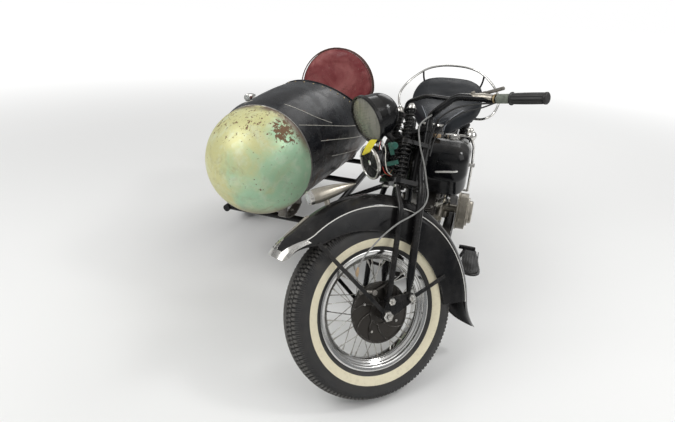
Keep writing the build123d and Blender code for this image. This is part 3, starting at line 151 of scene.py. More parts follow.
class Form:
    """A mesh made up from turned, swept and lofted shapes, in scene metres."""

    def __init__(self) -> None:
        """Starts an empty mesh."""
        self.verts: list[Vector] = []
        self.faces: list[tuple[int, ...]] = []

    def add(self, verts: Iterable[Vector], faces: Iterable[Sequence[int]]) -> None:
        """Adds vertices and the faces that join them."""
        start = len(self.verts)
        self.verts.extend(Vector(v) for v in verts)
        self.faces.extend(tuple(start + index for index in face) for face in faces)

    def loft(self, rings: Sequence[Sequence[Vector]], closed: bool = True, loop: bool = False,
             caps: bool = False) -> None:
        """Joins rings of equal length into a skin.

        Args:
            rings: Rows of points.
            closed: Whether each row closes on itself.
            loop: Whether the last row joins the first.
            caps: Whether the first and last rows are filled.
        """
        count = len(rings[0])
        span = count if closed else count - 1
        rows = len(rings) if loop else len(rings) - 1
        faces: list[tuple[int, ...]] = []
        for row in range(rows):
            here = row * count
            there = ((row + 1) % len(rings)) * count
            for index in range(span):
                after = (index + 1) % count
                faces.append((here + index, here + after, there + after, there + index))
        if caps:
            faces.append(tuple(reversed(range(count))))
            faces.append(tuple(range((len(rings) - 1) * count, len(rings) * count)))
        self.add([point for ring in rings for point in ring], faces)

    def lathe(self, profile: Sequence[tuple[float, float]], frame: Matrix, steps: int = 64,
              closed: bool = False) -> None:
        """Turns a profile of radius and height, in millimetres, about a frame's Z axis.

        Args:
            profile: Pairs of radius and height.
            frame: Placement of the turned shape, in metres.
            steps: Segments round the axis.
            closed: Whether the profile's end joins its start.
        """
        rings = []
        for radius, height in profile:
            ring = []
            for step in range(steps):
                angle = 2 * math.pi * step / steps
                spot = Vector((radius * math.cos(angle), radius * math.sin(angle), height)) / 1000.0
                ring.append(frame @ spot)
            rings.append(ring)
        self.loft(rings, loop=closed, caps=not closed and profile[0][0] > 0.01)

    def tube(self, points: Sequence[Vector], radius: float, sides: int = 10, loop: bool = False) -> None:
        """Sweeps a round section of a radius in millimetres along a path.

        Args:
            points: The path in metres.
            radius: The section's radius in millimetres.
            sides: Sides of the section.
            loop: Whether the path closes on itself.
        """
        self.taper(points, [radius] * len(points), sides, loop)

    def taper(self, points: Sequence[Vector], radii: Sequence[float], sides: int = 10,
              loop: bool = False) -> None:
        """Sweeps a round section whose radius changes along a path.

        Args:
            points: The path in metres.
            radii: One radius a point, in millimetres.
            sides: Sides of the section.
            loop: Whether the path closes on itself.
        """
        count = len(points)
        tangents = []
        for index in range(count):
            before = points[index - 1] if loop or index else points[0]
            after = points[(index + 1) % count] if loop or index < count - 1 else points[-1]
            tangents.append((after - before).normalized())
        side = tangents[0].orthogonal().normalized()
        rings = []
        for point, tangent, radius in zip(points, tangents, radii):
            side = (side - tangent * side.dot(tangent)).normalized()
            other = tangent.cross(side)
            ring = []
            for step in range(sides):
                angle = 2 * math.pi * step / sides
                ring.append(point + (side * math.cos(angle) + other * math.sin(angle)) * radius / 1000.0)
            rings.append(ring)
        self.loft(rings, loop=loop, caps=not loop)

    def block(self, frame: Matrix, size: Point, edge: float = 0.0) -> None:
        """A box with its corners taken off, centred in a frame.

        Args:
            frame: Placement in metres.
            size: Full lengths in millimetres.
            edge: Size of the bevel in millimetres.
        """
        x, y, z = (length / 2000.0 for length in size)
        cut = edge / 1000.0
        outline = [(x - cut, -y), (x, -y + cut), (x, y - cut), (x - cut, y)]
        outline += [(-x + cut, y), (-x, y - cut), (-x, -y + cut), (-x + cut, -y)]
        levels = [(-z, 1 - cut / max(x, 1e-6)), (-z + cut, 1.0), (z - cut, 1.0),
                  (z, 1 - cut / max(x, 1e-6))]
        rings = [[frame @ Vector((px * k, py * k, h)) for px, py in outline] for h, k in levels]
        self.loft(rings, caps=True)

    def nut(self, frame: Matrix, across: float, height: float) -> None:
        """A hexagon nut or bolt head standing on a frame's plane.

        Args:
            frame: Placement in metres; the nut stands along its Z axis.
            across: Width over the corners in millimetres.
            height: Height in millimetres.
        """
        rings = []
        for z, scale in ((0.0, 1.0), (height * 0.8, 1.0), (height, 0.86)):
            ring = []
            for step in range(6):
                angle = math.pi * step / 3
                ring.append(frame @ (Vector((math.cos(angle), math.sin(angle), 0)) * across * scale / 2000.0
                                     + Vector((0, 0, z / 1000.0))))
            rings.append(ring)
        self.loft(rings, caps=True)

    def make(self, name: str, finish: bpy.types.Material, body: Body,
             sharp_deg: float = 35.0) -> bpy.types.Object:
        """Turns the mesh into an object that rides on a body.

        Args:
            name: The piece's name.
            finish: Its material.
            body: The body that carries it.
            sharp_deg: Edges that turn by more than this stay crisp.

        Returns:
            The new object.
        """
        mesh = bpy.data.meshes.new(name)
        mesh.from_pydata([tuple(v) for v in self.verts], [], self.faces)
        mesh.validate()
        shape = bmesh.new()
        shape.from_mesh(mesh)
        bmesh.ops.recalc_face_normals(shape, faces=shape.faces)
        shape.to_mesh(mesh)
        shape.free()
        mesh.materials.append(finish)
        mesh.shade_smooth()
        mesh.set_sharp_from_angle(angle=math.radians(sharp_deg))
        piece = bpy.data.objects.new(name, mesh)
        bpy.context.scene.collection.objects.link(piece)
        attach(piece, body.value)
        return piece


def facing(place: Vector, direction: Vector) -> Matrix:
    """A frame at a place whose Z axis points along a direction.

    Args:
        place: Its origin.
        direction: Its Z axis.

    Returns:
        The frame as a matrix.
    """
    return Matrix.Translation(place) @ direction.to_track_quat("Z", "Y").to_matrix().to_4x4()


def between(a: Value, b: Value, c: Value, d: Value, t: float) -> Value:
    """A value on the smooth curve through four values, from the second to the third.

    Args:
        a: The value before.
        b: The value at the start.
        c: The value at the end.
        d: The value after.
        t: Share of the way from b to c.

    Returns:
        The value there, a number or a Vector like those given.
    """
    return 0.5 * (2 * b + (c - a) * t + (2 * a - 5 * b + 4 * c - d) * t * t + (3 * b - a - 3 * c + d)
                  * t**3)


def smooth_path(points: Sequence[Vector], steps: int = 8) -> list[Vector]:
    """A smooth path through a few points.

    Args:
        points: The points it passes.
        steps: Pieces between two points.

    Returns:
        The points of the finer path.
    """
    path = []
    last = len(points) - 1
    for index in range(last):
        a = points[max(index - 1, 0)]
        b, c = points[index], points[index + 1]
        d = points[min(index + 2, last)]
        path.extend(between(a, b, c, d, step / steps) for step in range(steps))
    path.append(points[last])
    return path


def arc_through(a: tuple[float, float], b: tuple[float, float], c: tuple[float, float],
                steps: int) -> list[tuple[float, float]]:
    """Points on the circle's arc from a through b to c.

    Args:
        a: First point.
        b: A point between.
        c: Last point.
        steps: Number of equal pieces.

    Returns:
        The points from a to c.
    """
    ax, ay, bx, by, cx, cy = *a, *b, *c
    d = 2 * (ax * (by - cy) + bx * (cy - ay) + cx * (ay - by))
    ux = ((ax**2 + ay**2) * (by - cy) + (bx**2 + by**2) * (cy - ay) + (cx**2 + cy**2) * (ay - by)) / d
    uy = ((ax**2 + ay**2) * (cx - bx) + (bx**2 + by**2) * (ax - cx) + (cx**2 + cy**2) * (bx - ax)) / d
    radius = math.hypot(ax - ux, ay - uy)
    start = math.atan2(ay - uy, ax - ux)
    middle = (math.atan2(by - uy, bx - ux) - start) % (2 * math.pi)
    end = (math.atan2(cy - uy, cx - ux) - start) % (2 * math.pi)
    if middle > end:
        end -= 2 * math.pi
    return [
        (ux + radius * math.cos(start + end * k / steps), uy + radius * math.sin(start + end * k / steps))
        for k in range(steps + 1)
    ]


Socket = bpy.types.NodeSocket


class Wiring:
    """A short way to write shader nodes in one tree."""

    def __init__(self, tree: bpy.types.NodeTree) -> None:
        """Starts on a tree."""
        self.tree = tree

    def node(self, kind: str, **settings: object) -> bpy.types.Node:
        """A new node with its settings."""
        made = self.tree.nodes.new(kind)
        for name, value in settings.items():
            setattr(made, name, value)
        return made

    def put(self, target: Socket, value: object) -> None:
        """Links a socket, or sets a plain value."""
        if isinstance(value, bpy.types.NodeSocket):
            self.tree.links.new(value, target)
        elif isinstance(value, tuple) and len(value) == 3 and target.type == "RGBA":
            target.default_value = (*value, 1.0)
        else:
            target.default_value = value

    def math(self, operation: str, a: object, b: object = 0.0, c: object = 0.0,
             clamp: bool = False) -> Socket:
        """A Math node's value."""
        made = self.node("ShaderNodeMath", operation=operation, use_clamp=clamp)
        for index, value in enumerate((a, b, c)):
            self.put(made.inputs[index], value)
        return made.outputs[0]

    def step(self, value: object, low: object, high: object) -> Socket:
        """A smooth step from 0 at low to 1 at high."""
        made = self.node("ShaderNodeMapRange", interpolation_type="SMOOTHSTEP")
        self.put(made.inputs["Value"], value)
        self.put(made.inputs["From Min"], low)
        self.put(made.inputs["From Max"], high)
        return made.outputs[0]

    def spread(self, value: object, low: object, high: object) -> Socket:
        """A value from 0 to 1 stretched to run from low to high."""
        made = self.node("ShaderNodeMapRange")
        self.put(made.inputs["Value"], value)
        self.put(made.inputs["To Min"], low)
        self.put(made.inputs["To Max"], high)
        return made.outputs[0]

    def mix(self, mask: object, a: object, b: object) -> Socket:
        """A colour between a and b."""
        made = self.node("ShaderNodeMix", data_type="RGBA")
        self.put(made.inputs["Factor"], mask)
        self.put(made.inputs["A"], a)
        self.put(made.inputs["B"], b)
        return next(out for out in made.outputs if out.type == "RGBA")

    def place(self, scale: Point = (1.0, 1.0, 1.0), shift: Point = (0.0, 0.0, 0.0)) -> Socket:
        """Object coordinates in metres, scaled and shifted."""
        coordinates = self.node("ShaderNodeTexCoord")
        if scale == (1.0, 1.0, 1.0) and shift == (0.0, 0.0, 0.0):
            return coordinates.outputs["Object"]
        mapping = self.node("ShaderNodeMapping")
        self.put(mapping.inputs["Vector"], coordinates.outputs["Object"])
        mapping.inputs["Scale"].default_value = scale
        mapping.inputs["Location"].default_value = shift
        return mapping.outputs[0]

    def grain(self, where: Socket, scale: object, detail: float = 3.0, rough: float = 0.55,
              twist: float = 0.0) -> Socket:
        """Noise from 0 to 1."""
        made = self.node("ShaderNodeTexNoise")
        self.put(made.inputs["Vector"], where)
        self.put(made.inputs["Scale"], scale)
        made.inputs["Detail"].default_value = detail
        made.inputs["Roughness"].default_value = rough
        made.inputs["Distortion"].default_value = twist
        return made.outputs["Fac"]

    def cells(self, where: Socket, scale: object, feature: str = "F1") -> Socket:
        """Distance in a cell pattern."""
        made = self.node("ShaderNodeTexVoronoi", feature=feature)
        self.put(made.inputs["Vector"], where)
        self.put(made.inputs["Scale"], scale)
        return made.outputs["Distance"]

    def bump(self, height: Socket, distance: float, strength: float = 1.0,
             over: Optional[Socket] = None) -> Socket:
        """A normal raised by a height."""
        made = self.node("ShaderNodeBump")
        made.inputs["Strength"].default_value = strength
        made.inputs["Distance"].default_value = distance
        self.put(made.inputs["Height"], height)
        if over is not None:
            self.put(made.inputs["Normal"], over)
        return made.outputs[0]


class Effects:
    """Shader groups shared by the finishes, each built once."""

    built: dict[str, bpy.types.NodeTree] = {}

    @classmethod
    def group(cls, name: str, inputs: dict[str, float], outputs: dict[str, str],
              draw: Callable) -> bpy.types.NodeTree:
        """Builds a group, or finds it again.

        Args:
            name: The group's name.
            inputs: Its number inputs and their usual values.
            outputs: Its outputs and their kinds.
            draw: Draws the inside and returns one socket an output.

        Returns:
            The group's node tree.
        """
        if name in cls.built:
            return cls.built[name]
        tree = bpy.data.node_groups.new(name, "ShaderNodeTree")
        for label, value in inputs.items():
            socket = tree.interface.new_socket(label, in_out="INPUT", socket_type="NodeSocketFloat")
            socket.default_value = value
        for label, kind in outputs.items():
            tree.interface.new_socket(label, in_out="OUTPUT", socket_type=kind)
        wires = Wiring(tree)
        entry = wires.node("NodeGroupInput")
        leave = wires.node("NodeGroupOutput")
        for label, socket in draw(wires, entry.outputs).items():
            tree.links.new(socket, leave.inputs[label])
        cls.built[name] = tree
        return tree

    @classmethod
    def place(cls, wires: Wiring, tree: bpy.types.NodeTree,
              **values: float) -> bpy.types.bpy_prop_collection:
        """Places a group in a material with its own values and returns its outputs."""
        made = wires.node("ShaderNodeGroup")
        made.node_tree = tree
        for label, value in values.items():
            made.inputs[label].default_value = value
        return made.outputs

    @classmethod
    def dust(cls) -> bpy.types.NodeTree:
        """Dust that settles on faces that look up, in soft patches."""

        def draw(w: Wiring, inputs: object) -> dict[str, Socket]:
            """Draws the inside."""
            normal = w.node("ShaderNodeNewGeometry").outputs["Normal"]
            split = w.node("ShaderNodeSeparateXYZ")
            w.put(split.inputs[0], normal)
            up = w.step(split.outputs["Z"], -0.25, 1.0)
            patches = w.step(w.grain(w.place(), inputs["Scale"], 6, 0.62, 0.6), 0.3, 0.72)
            mask = w.math("MULTIPLY", w.math("MULTIPLY", up, patches), inputs["Amount"], clamp=True)
            return {"Mask": mask}

        return cls.group("dust film", {"Scale": 9.0, "Amount": 0.4}, {"Mask": "NodeSocketFloat"}, draw)

    @classmethod
    def edges(cls) -> bpy.types.NodeTree:
        """Edges where the finish is rubbed away."""

        def draw(w: Wiring, inputs: object) -> dict[str, Socket]:
            """Draws the inside."""
            rounded = w.node("ShaderNodeBevel", samples=4)
            w.put(rounded.inputs["Radius"], inputs["Width"])
            flat = w.node("ShaderNodeNewGeometry").outputs["Normal"]
            dot = w.node("ShaderNodeVectorMath", operation="DOT_PRODUCT")
            w.put(dot.inputs[0], rounded.outputs[0])
            w.put(dot.inputs[1], flat)
            turn = w.step(w.math("SUBTRACT", 1.0, dot.outputs["Value"]), 0.01, 0.12)
            broken = w.step(w.grain(w.place(), inputs["Scale"], 5, 0.65), 0.42, 0.62)
            return {"Mask": w.math("MULTIPLY", w.math("MULTIPLY", turn, broken), inputs["Amount"],
                                   clamp=True)}

        values = {"Width": 0.002, "Scale": 60.0, "Amount": 0.8}
        return cls.group("edge wear", values, {"Mask": "NodeSocketFloat"}, draw)

    @classmethod
    def rust(cls) -> bpy.types.NodeTree:
        """Rust in blooms and pin spots, with its colour and height."""

        def draw(w: Wiring, inputs: object) -> dict[str, Socket]:
            """Draws the inside."""
            where = w.place()
            broad = w.grain(where, inputs["Scale"], 8, 0.68, 0.4)
            fine = w.grain(where, w.math("MULTIPLY", inputs["Scale"], 9.0), 4, 0.6)
            field_ = w.math("ADD", w.math("MULTIPLY", broad, 0.72), w.math("MULTIPLY", fine, 0.28))
            edge = w.math("SUBTRACT", 0.78, w.math("MULTIPLY", inputs["Cover"], 0.5))
            mask = w.step(field_, edge, w.math("ADD", edge, 0.05))
            tone = w.mix(w.step(fine, 0.3, 0.7), (0.13, 0.045, 0.018), (0.33, 0.14, 0.055))
            return {"Mask": mask, "Colour": tone, "Height": w.math("MULTIPLY", mask, fine)}

        kinds = {"Mask": "NodeSocketFloat", "Colour": "NodeSocketColor", "Height": "NodeSocketFloat"}
        return cls.group("rust bloom", {"Scale": 14.0, "Cover": 0.2}, kinds, draw)

    @classmethod
    def hide(cls) -> bpy.types.NodeTree:
        """Leather's pebbled grain and its longer creases."""

        def draw(w: Wiring, inputs: object) -> dict[str, Socket]:
            """Draws the inside."""
            where = w.place()
            pebble = w.cells(where, inputs["Scale"])
            crease = w.cells(w.place((1.0, 2.2, 1.4)), w.math("MULTIPLY", inputs["Scale"], 0.09),
                             "DISTANCE_TO_EDGE")
            lines = w.math("SUBTRACT", 1.0, w.step(crease, 0.0, 0.09))
            broken = w.step(w.grain(where, 14.0, 4), 0.5, 0.66)
            lines = w.math("MULTIPLY", lines, broken)
            height = w.math("SUBTRACT", w.math("MULTIPLY", pebble, 0.6), w.math("MULTIPLY", lines, 0.8))
            return {"Height": height, "Crease": lines, "Grain": pebble}

        kinds = {"Height": "NodeSocketFloat", "Crease": "NodeSocketFloat", "Grain": "NodeSocketFloat"}
        return cls.group("hide grain", {"Scale": 700.0}, kinds, draw)

    @classmethod
    def streaks(cls) -> bpy.types.NodeTree:
        """Grime that has run down and wiped marks across a surface."""

        def draw(w: Wiring, inputs: object) -> dict[str, Socket]:
            """Draws the inside."""
            runs = w.grain(w.place((1.0, 1.0, 0.18)), inputs["Scale"], 6, 0.6, 0.3)
            wipes = w.grain(w.place((0.25, 1.0, 1.0)), w.math("MULTIPLY", inputs["Scale"], 2.4), 5, 0.7)
            both = w.math("ADD", w.math("MULTIPLY", runs, 0.6), w.math("MULTIPLY", wipes, 0.4))
            return {"Mask": w.step(both, 0.4, 0.66), "Fine": wipes}

        kinds = {"Mask": "NodeSocketFloat", "Fine": "NodeSocketFloat"}
        return cls.group("grime streaks", {"Scale": 20.0}, kinds, draw)


def bare_material(name: str) -> tuple[bpy.types.Material, Wiring, bpy.types.Node]:
    """A new material with its Principled shader.

    Args:
        name: The material's name.

    Returns:
        The material, its wiring and its Principled node.
    """
    material = bpy.data.materials.new(name)
    material.use_nodes = True
    wires = Wiring(material.node_tree)
    shader = next(n for n in material.node_tree.nodes if n.type == "BSDF_PRINCIPLED")
    return material, wires, shader


@dataclass(frozen=True)
class Enamel:
    """Stoved enamel: glossy where it is kept, dusty on top, rubbed at its edges, rust in its chips."""

    name: str
    colour: Colour = (0.003, 0.0035, 0.0045)
    faded: Colour = (0.008, 0.008, 0.009)
    dust_colour: Colour = (0.20, 0.18, 0.155)
    roughness: float = 0.09
    dull: float = 0.26
    dust: float = 0.1
    rust: float = 0.08
    wear: float = 0.4
    bright: Colour = (0.26, 0.245, 0.22)
    ripple: float = 0.0004
    gleam: float = 0.24

    def build(self) -> bpy.types.Material:
        """Makes the material."""
        material, w, shader = bare_material(self.name)
        dust = Effects.place(w, Effects.dust(), Scale=8.0, Amount=self.dust)["Mask"]
        edge = Effects.place(w, Effects.edges(), Width=0.0016, Scale=70.0, Amount=self.wear)["Mask"]
        rust = Effects.place(w, Effects.rust(), Scale=11.0, Cover=self.rust)
        grime = Effects.place(w, Effects.streaks(), Scale=16.0)
        colour = w.mix(grime["Mask"], self.colour, self.faded)
        colour = w.mix(dust, colour, self.dust_colour)
        colour = w.mix(rust["Mask"], colour, rust["Colour"])
        colour = w.mix(edge, colour, self.bright)
        w.put(shader.inputs["Base Color"], colour)
        rough = w.spread(grime["Mask"], self.roughness, self.dull)
        rough = w.math("ADD", rough, w.math("MULTIPLY", dust, 0.35))
        rough = w.math("MAXIMUM", rough, w.math("MULTIPLY", rust["Mask"], 0.8), clamp=True)
        w.put(shader.inputs["Roughness"], rough)
        w.put(shader.inputs["Metallic"], w.math("MULTIPLY", edge, 0.7))
        shader.inputs["Specular IOR Level"].default_value = self.gleam
        slow = w.grain(w.place(), 5.0, 2)
        normal = w.bump(slow, self.ripple, 0.5)
        w.put(shader.inputs["Normal"], w.bump(rust["Height"], 0.0006, 0.6, normal))
        return material


@dataclass(frozen=True)
class BrightPlate:
    """Chrome or nickel plate with haze, fine scratches and rust pits."""

    name: str
    colour: Colour = (0.66, 0.65, 0.62)
    haze: Colour = (0.34, 0.31, 0.27)
    roughness: float = 0.1
    dull: float = 0.38
    rust: float = 0.1
    grime: float = 0.5
    relief: float = 0.00012

    def build(self) -> bpy.types.Material:
        """Makes the material."""
        material, w, shader = bare_material(self.name)
        streak = Effects.place(w, Effects.streaks(), Scale=26.0)
        rust = Effects.place(w, Effects.rust(), Scale=42.0, Cover=self.rust)
        mask = w.math("MULTIPLY", streak["Mask"], self.grime)
        colour = w.mix(rust["Mask"], w.mix(mask, self.colour, self.haze), rust["Colour"])
        w.put(shader.inputs["Base Color"], colour)
        w.put(shader.inputs["Metallic"], w.math("SUBTRACT", 1.0, w.math("MULTIPLY", rust["Mask"], 0.85)))
        rough = w.spread(streak["Mask"], self.roughness, self.dull)
        w.put(shader.inputs["Roughness"], w.math("MAXIMUM", rough, w.math("MULTIPLY", rust["Mask"], 0.75)))
        height = w.math("ADD", rust["Height"], w.math("MULTIPLY", streak["Fine"], 0.25))
        w.put(shader.inputs["Normal"], w.bump(height, self.relief, 0.4))
        return material


@dataclass(frozen=True)
class CastMetal:
    """Cast alloy, iron or dull steel: a sandy skin with oil and dirt in its hollows."""

    name: str
    colour: Colour = (0.34, 0.33, 0.31)
    dirt: Colour = (0.06, 0.05, 0.04)
    metallic: float = 0.9
    roughness: float = 0.42
    grime: float = 0.7
    rust: float = 0.12
    coarse: float = 480.0
    wear: float = 0.5
    bright: Colour = (0.55, 0.53, 0.5)

    def build(self) -> bpy.types.Material:
        """Makes the material."""
        material, w, shader = bare_material(self.name)
        where = w.place()
        skin = w.grain(where, self.coarse, 3, 0.7)
        streak = Effects.place(w, Effects.streaks(), Scale=24.0)
        rust = Effects.place(w, Effects.rust(), Scale=20.0, Cover=self.rust)
        edge = Effects.place(w, Effects.edges(), Width=0.0018, Scale=80.0, Amount=self.wear)["Mask"]
        dirt = w.math("MULTIPLY", streak["Mask"], self.grime)
        colour = w.mix(w.math("MULTIPLY", skin, 0.25), self.colour, self.dirt)
        colour = w.mix(dirt, colour, self.dirt)
        colour = w.mix(w.math("MULTIPLY", rust["Mask"], 0.8), colour, rust["Colour"])
        colour = w.mix(edge, colour, self.bright)
        w.put(shader.inputs["Base Color"], colour)
        w.put(shader.inputs["Metallic"],
              w.spread(w.math("MAXIMUM", dirt, rust["Mask"]), self.metallic, 0.1))
        w.put(shader.inputs["Roughness"], w.spread(dirt, self.roughness, 0.68))
        height = w.math("ADD", w.math("MULTIPLY", skin, 0.6), rust["Height"])
        w.put(shader.inputs["Normal"], w.bump(height, 0.0004, 0.55))
        return material


@dataclass(frozen=True)
class Rubber:
    """Tyre or grip rubber: soft sheen, brown dust in hollows, fine cracks, painted light on lug tops."""

    name: str
    colour: Colour = (0.014, 0.014, 0.015)
    worn: Colour = (0.055, 0.052, 0.048)
    roughness: float = 0.6
    dust: float = 0.3
    cracks: float = 0.5

    def build(self) -> bpy.types.Material:
        """Makes the material."""
        material, w, shader = bare_material(self.name)
        where = w.place()
        dust = Effects.place(w, Effects.dust(), Scale=12.0, Amount=self.dust * 0.5)["Mask"]
        patch = w.step(w.grain(where, 16.0, 6, 0.65), 0.36, 0.7)
        pore = w.grain(where, 900.0, 2)
        crack = w.math("SUBTRACT", 1.0, w.step(w.cells(where, 240.0, "DISTANCE_TO_EDGE"), 0.0, 0.05))
        crack = w.math("MULTIPLY", crack, w.step(w.grain(where, 30.0, 3), 0.52, 0.62))
        crack = w.math("MULTIPLY", crack, self.cracks)
        colour = w.mix(w.math("MULTIPLY", patch, self.dust), self.colour, self.worn)
        colour = w.mix(dust, colour, (0.17, 0.145, 0.115))
        colour = w.mix(crack, colour, (0.008, 0.008, 0.008))
        # Painted light and shade: lug tops marked by the tread attribute are painted paler, so the grooves
        # between them read as shaded.
        top = w.node("ShaderNodeAttribute", attribute_name="tread").outputs["Fac"]
        top = w.math("MULTIPLY", top, w.spread(w.grain(where, 24.0, 4), 0.35, 1.0))
        colour = w.mix(top, colour, (0.115, 0.11, 0.1))
        w.put(shader.inputs["Base Color"], colour)
        w.put(shader.inputs["Roughness"], w.spread(patch, self.roughness - 0.08, self.roughness + 0.14))
        height = w.math("SUBTRACT", w.math("MULTIPLY", pore, 0.4), crack)
        w.put(shader.inputs["Normal"], w.bump(height, 0.00035, 0.5))
        return material


@dataclass(frozen=True)
class Hide:
    """Leather: pebble grain, creases, paler where it is rubbed."""

    name: str
    colour: Colour = (0.03, 0.031, 0.034)
    rubbed: Colour = (0.085, 0.085, 0.09)
    crease: Colour = (0.012, 0.011, 0.011)
    roughness: float = 0.44
    dull: float = 0.66
    patch: float = 7.0
    dust: float = 0.2
    scratches: float = 0.0
    gleam: float = 0.22

    def build(self) -> bpy.types.Material:
        """Makes the material."""
        material, w, shader = bare_material(self.name)
        where = w.place()
        hide = Effects.place(w, Effects.hide(), Scale=620.0)
        dust = Effects.place(w, Effects.dust(), Scale=7.0, Amount=self.dust)["Mask"]
        patches = w.step(w.grain(where, self.patch, 7, 0.62, 0.8), 0.34, 0.7)
        scratch = w.grain(w.place((4.0, 4.0, 0.5)), 34.0, 4, 0.8)
        marks = w.math("MULTIPLY", w.step(scratch, 0.62, 0.7), self.scratches)
        colour = w.mix(patches, self.colour, self.rubbed)
        colour = w.mix(w.math("MULTIPLY", hide["Crease"], 0.7), colour, self.crease)
        colour = w.mix(dust, colour, (0.23, 0.21, 0.185))
        colour = w.mix(marks, colour, (0.34, 0.2, 0.16))
        w.put(shader.inputs["Base Color"], colour)
        w.put(shader.inputs["Roughness"], w.spread(patches, self.roughness, self.dull))
        shader.inputs["Specular IOR Level"].default_value = self.gleam
        w.put(shader.inputs["Normal"], w.bump(hide["Height"], 0.0005, 0.45))
        return material


@dataclass(frozen=True)
class BodyEnamel:
    """The sidecar body's tired black: dusty bloom on top, brown rust patches and runs low down."""

    name: str
    colour: Colour = (0.006, 0.006, 0.008)
    bloom: Colour = (0.07, 0.077, 0.082)
    brown: Colour = (0.105, 0.06, 0.034)

    def build(self) -> bpy.types.Material:
        """Makes the material."""
        material, w, shader = bare_material(self.name)
        where = w.place()
        split = w.node("ShaderNodeSeparateXYZ")
        w.put(split.inputs[0], where)
        dust = Effects.place(w, Effects.dust(), Scale=6.0, Amount=0.95)["Mask"]
        grime = Effects.place(w, Effects.streaks(), Scale=11.0)
        rust = Effects.place(w, Effects.rust(), Scale=9.0, Cover=0.3)
        fine = w.grain(where, 60.0, 6, 0.7)
        cloud = w.step(w.grain(where, 4.5, 4, 0.6, 0.8), 0.42, 0.68)
        bloom = w.math("MULTIPLY", w.math("MULTIPLY", dust, w.spread(fine, 0.5, 1.2)),
                       w.spread(cloud, 0.12, 1.0), clamp=True)
        low = w.step(split.outputs["Z"], 0.72, 0.42)
        patch = w.math("MULTIPLY", w.step(w.grain(where, 7.5, 7, 0.66, 0.7), 0.47, 0.58), low)
        colour = w.mix(grime["Mask"], self.colour, (0.016, 0.016, 0.016))
        colour = w.mix(bloom, colour, self.bloom)
        colour = w.mix(w.math("MULTIPLY", patch, 0.85), colour, w.mix(fine, self.brown, (0.2, 0.12, 0.07)))
        colour = w.mix(rust["Mask"], colour, rust["Colour"])
        w.put(shader.inputs["Base Color"], colour)
        shader.inputs["Specular IOR Level"].default_value = 0.12
        rough = w.spread(grime["Mask"], 0.18, 0.4)
        rough = w.math("MAXIMUM", rough, w.math("MULTIPLY", w.math("MAXIMUM", rust["Mask"], patch), 0.8))
        w.put(shader.inputs["Roughness"], w.math("ADD", rough, w.math("MULTIPLY", bloom, 0.22), clamp=True))
        dent = w.grain(where, 3.2, 3)
        normal = w.bump(dent, 0.006, 0.35)
        height = w.math("ADD", w.math("MULTIPLY", rust["Height"], 1.0), w.math("MULTIPLY", fine, 0.15))
        w.put(shader.inputs["Normal"], w.bump(height, 0.0007, 0.6, normal))
        return material


@dataclass(frozen=True)
class Patina:
    """The bare nose: mint and straw yellow over zinc grey, worn through to brown in spots."""

    name: str
    centre: Point
    mint: Colour = (0.38, 0.64, 0.41)
    straw: Colour = (0.60, 0.58, 0.25)
    pale: Colour = (0.68, 0.76, 0.58)
    brown: Colour = (0.13, 0.07, 0.035)

    def build(self) -> bpy.types.Material:
        """Makes the material."""
        material, w, shader = bare_material(self.name)
        where = w.place(shift=tuple(-value for value in self.centre))
        split = w.node("ShaderNodeSeparateXYZ")
        w.put(split.inputs[0], where)
        x, y, z = (split.outputs[label] for label in "XYZ")
        slow = w.grain(where, 6.0, 6, 0.6, 0.8)
        middle = w.grain(where, 21.0, 7, 0.65, 0.4)
        fine = w.grain(where, 120.0, 5, 0.7)
        lean = w.math("ADD", w.math("MULTIPLY", y, 2.6), w.math("MULTIPLY", slow, 1.5))
        lean = w.math("SUBTRACT", lean, w.math("MULTIPLY", z, 1.2))
        colour = w.mix(w.step(lean, 0.6, 1.25), self.straw, self.mint)
        colour = w.mix(w.math("MULTIPLY", w.step(middle, 0.45, 0.75), 0.55), colour, self.pale)
        cloud = w.step(w.grain(where, 12.0, 8, 0.7, 1.0), 0.5, 0.72)
        colour = w.mix(w.math("MULTIPLY", cloud, 0.45), colour, (0.30, 0.27, 0.13))
        colour = w.mix(w.math("MULTIPLY", fine, 0.22), colour, (0.72, 0.74, 0.58))
        low = w.step(w.math("SUBTRACT", z, w.math("MULTIPLY", slow, 0.07)), -0.17, -0.255)
        colour = w.mix(w.math("MULTIPLY", low, 0.8), colour, (0.27, 0.19, 0.10))
        spots = w.math("ADD", w.math("MULTIPLY", w.grain(where, 70.0, 5, 0.72), 0.75),
                       w.math("MULTIPLY", w.grain(where, 24.0, 3), 0.3))
        near = w.node("ShaderNodeVectorMath", operation="DISTANCE")
        w.put(near.inputs[0], where)
        near.inputs[1].default_value = (0.086, 0.169, 0.172)
        close = w.step(near.outputs["Value"], 0.095, 0.015)
        edge = w.math("SUBTRACT", 0.655, w.math("MULTIPLY", close, 0.135))
        band = w.step(z, 0.08, 0.2)
        edge = w.math("SUBTRACT", edge, w.math("MULTIPLY", band, 0.07))
        worn = w.step(spots, edge, w.math("ADD", edge, 0.018))
        colour = w.mix(worn, colour, w.mix(fine, self.brown, (0.22, 0.13, 0.07)))
        crown = w.math("MULTIPLY", w.step(x, 0.075, 0.01), w.step(z, 0.0, 0.16))
        crown = w.math("MULTIPLY", crown,
                       w.step(w.math("ADD", slow, w.math("MULTIPLY", fine, 0.3)), 0.5, 0.66))
        colour = w.mix(crown, colour, (0.12, 0.075, 0.045))
        w.put(shader.inputs["Base Color"], colour)
        rough = w.spread(cloud, 0.4, 0.55)
        w.put(shader.inputs["Roughness"], w.math("MAXIMUM", rough, w.math("MULTIPLY", worn, 0.85)))
        w.put(shader.inputs["Metallic"], w.math("MULTIPLY", w.math("SUBTRACT", 1.0, worn), 0.18))
        dents = w.step(w.cells(where, 9.0), 0.26, 0.0)
        normal = w.bump(dents, 0.0035, 0.5)
        pits = w.math("SUBTRACT", w.math("MULTIPLY", fine, 0.2), worn)
        w.put(shader.inputs["Normal"], w.bump(pits, 0.0006, 0.6, normal))
        return material


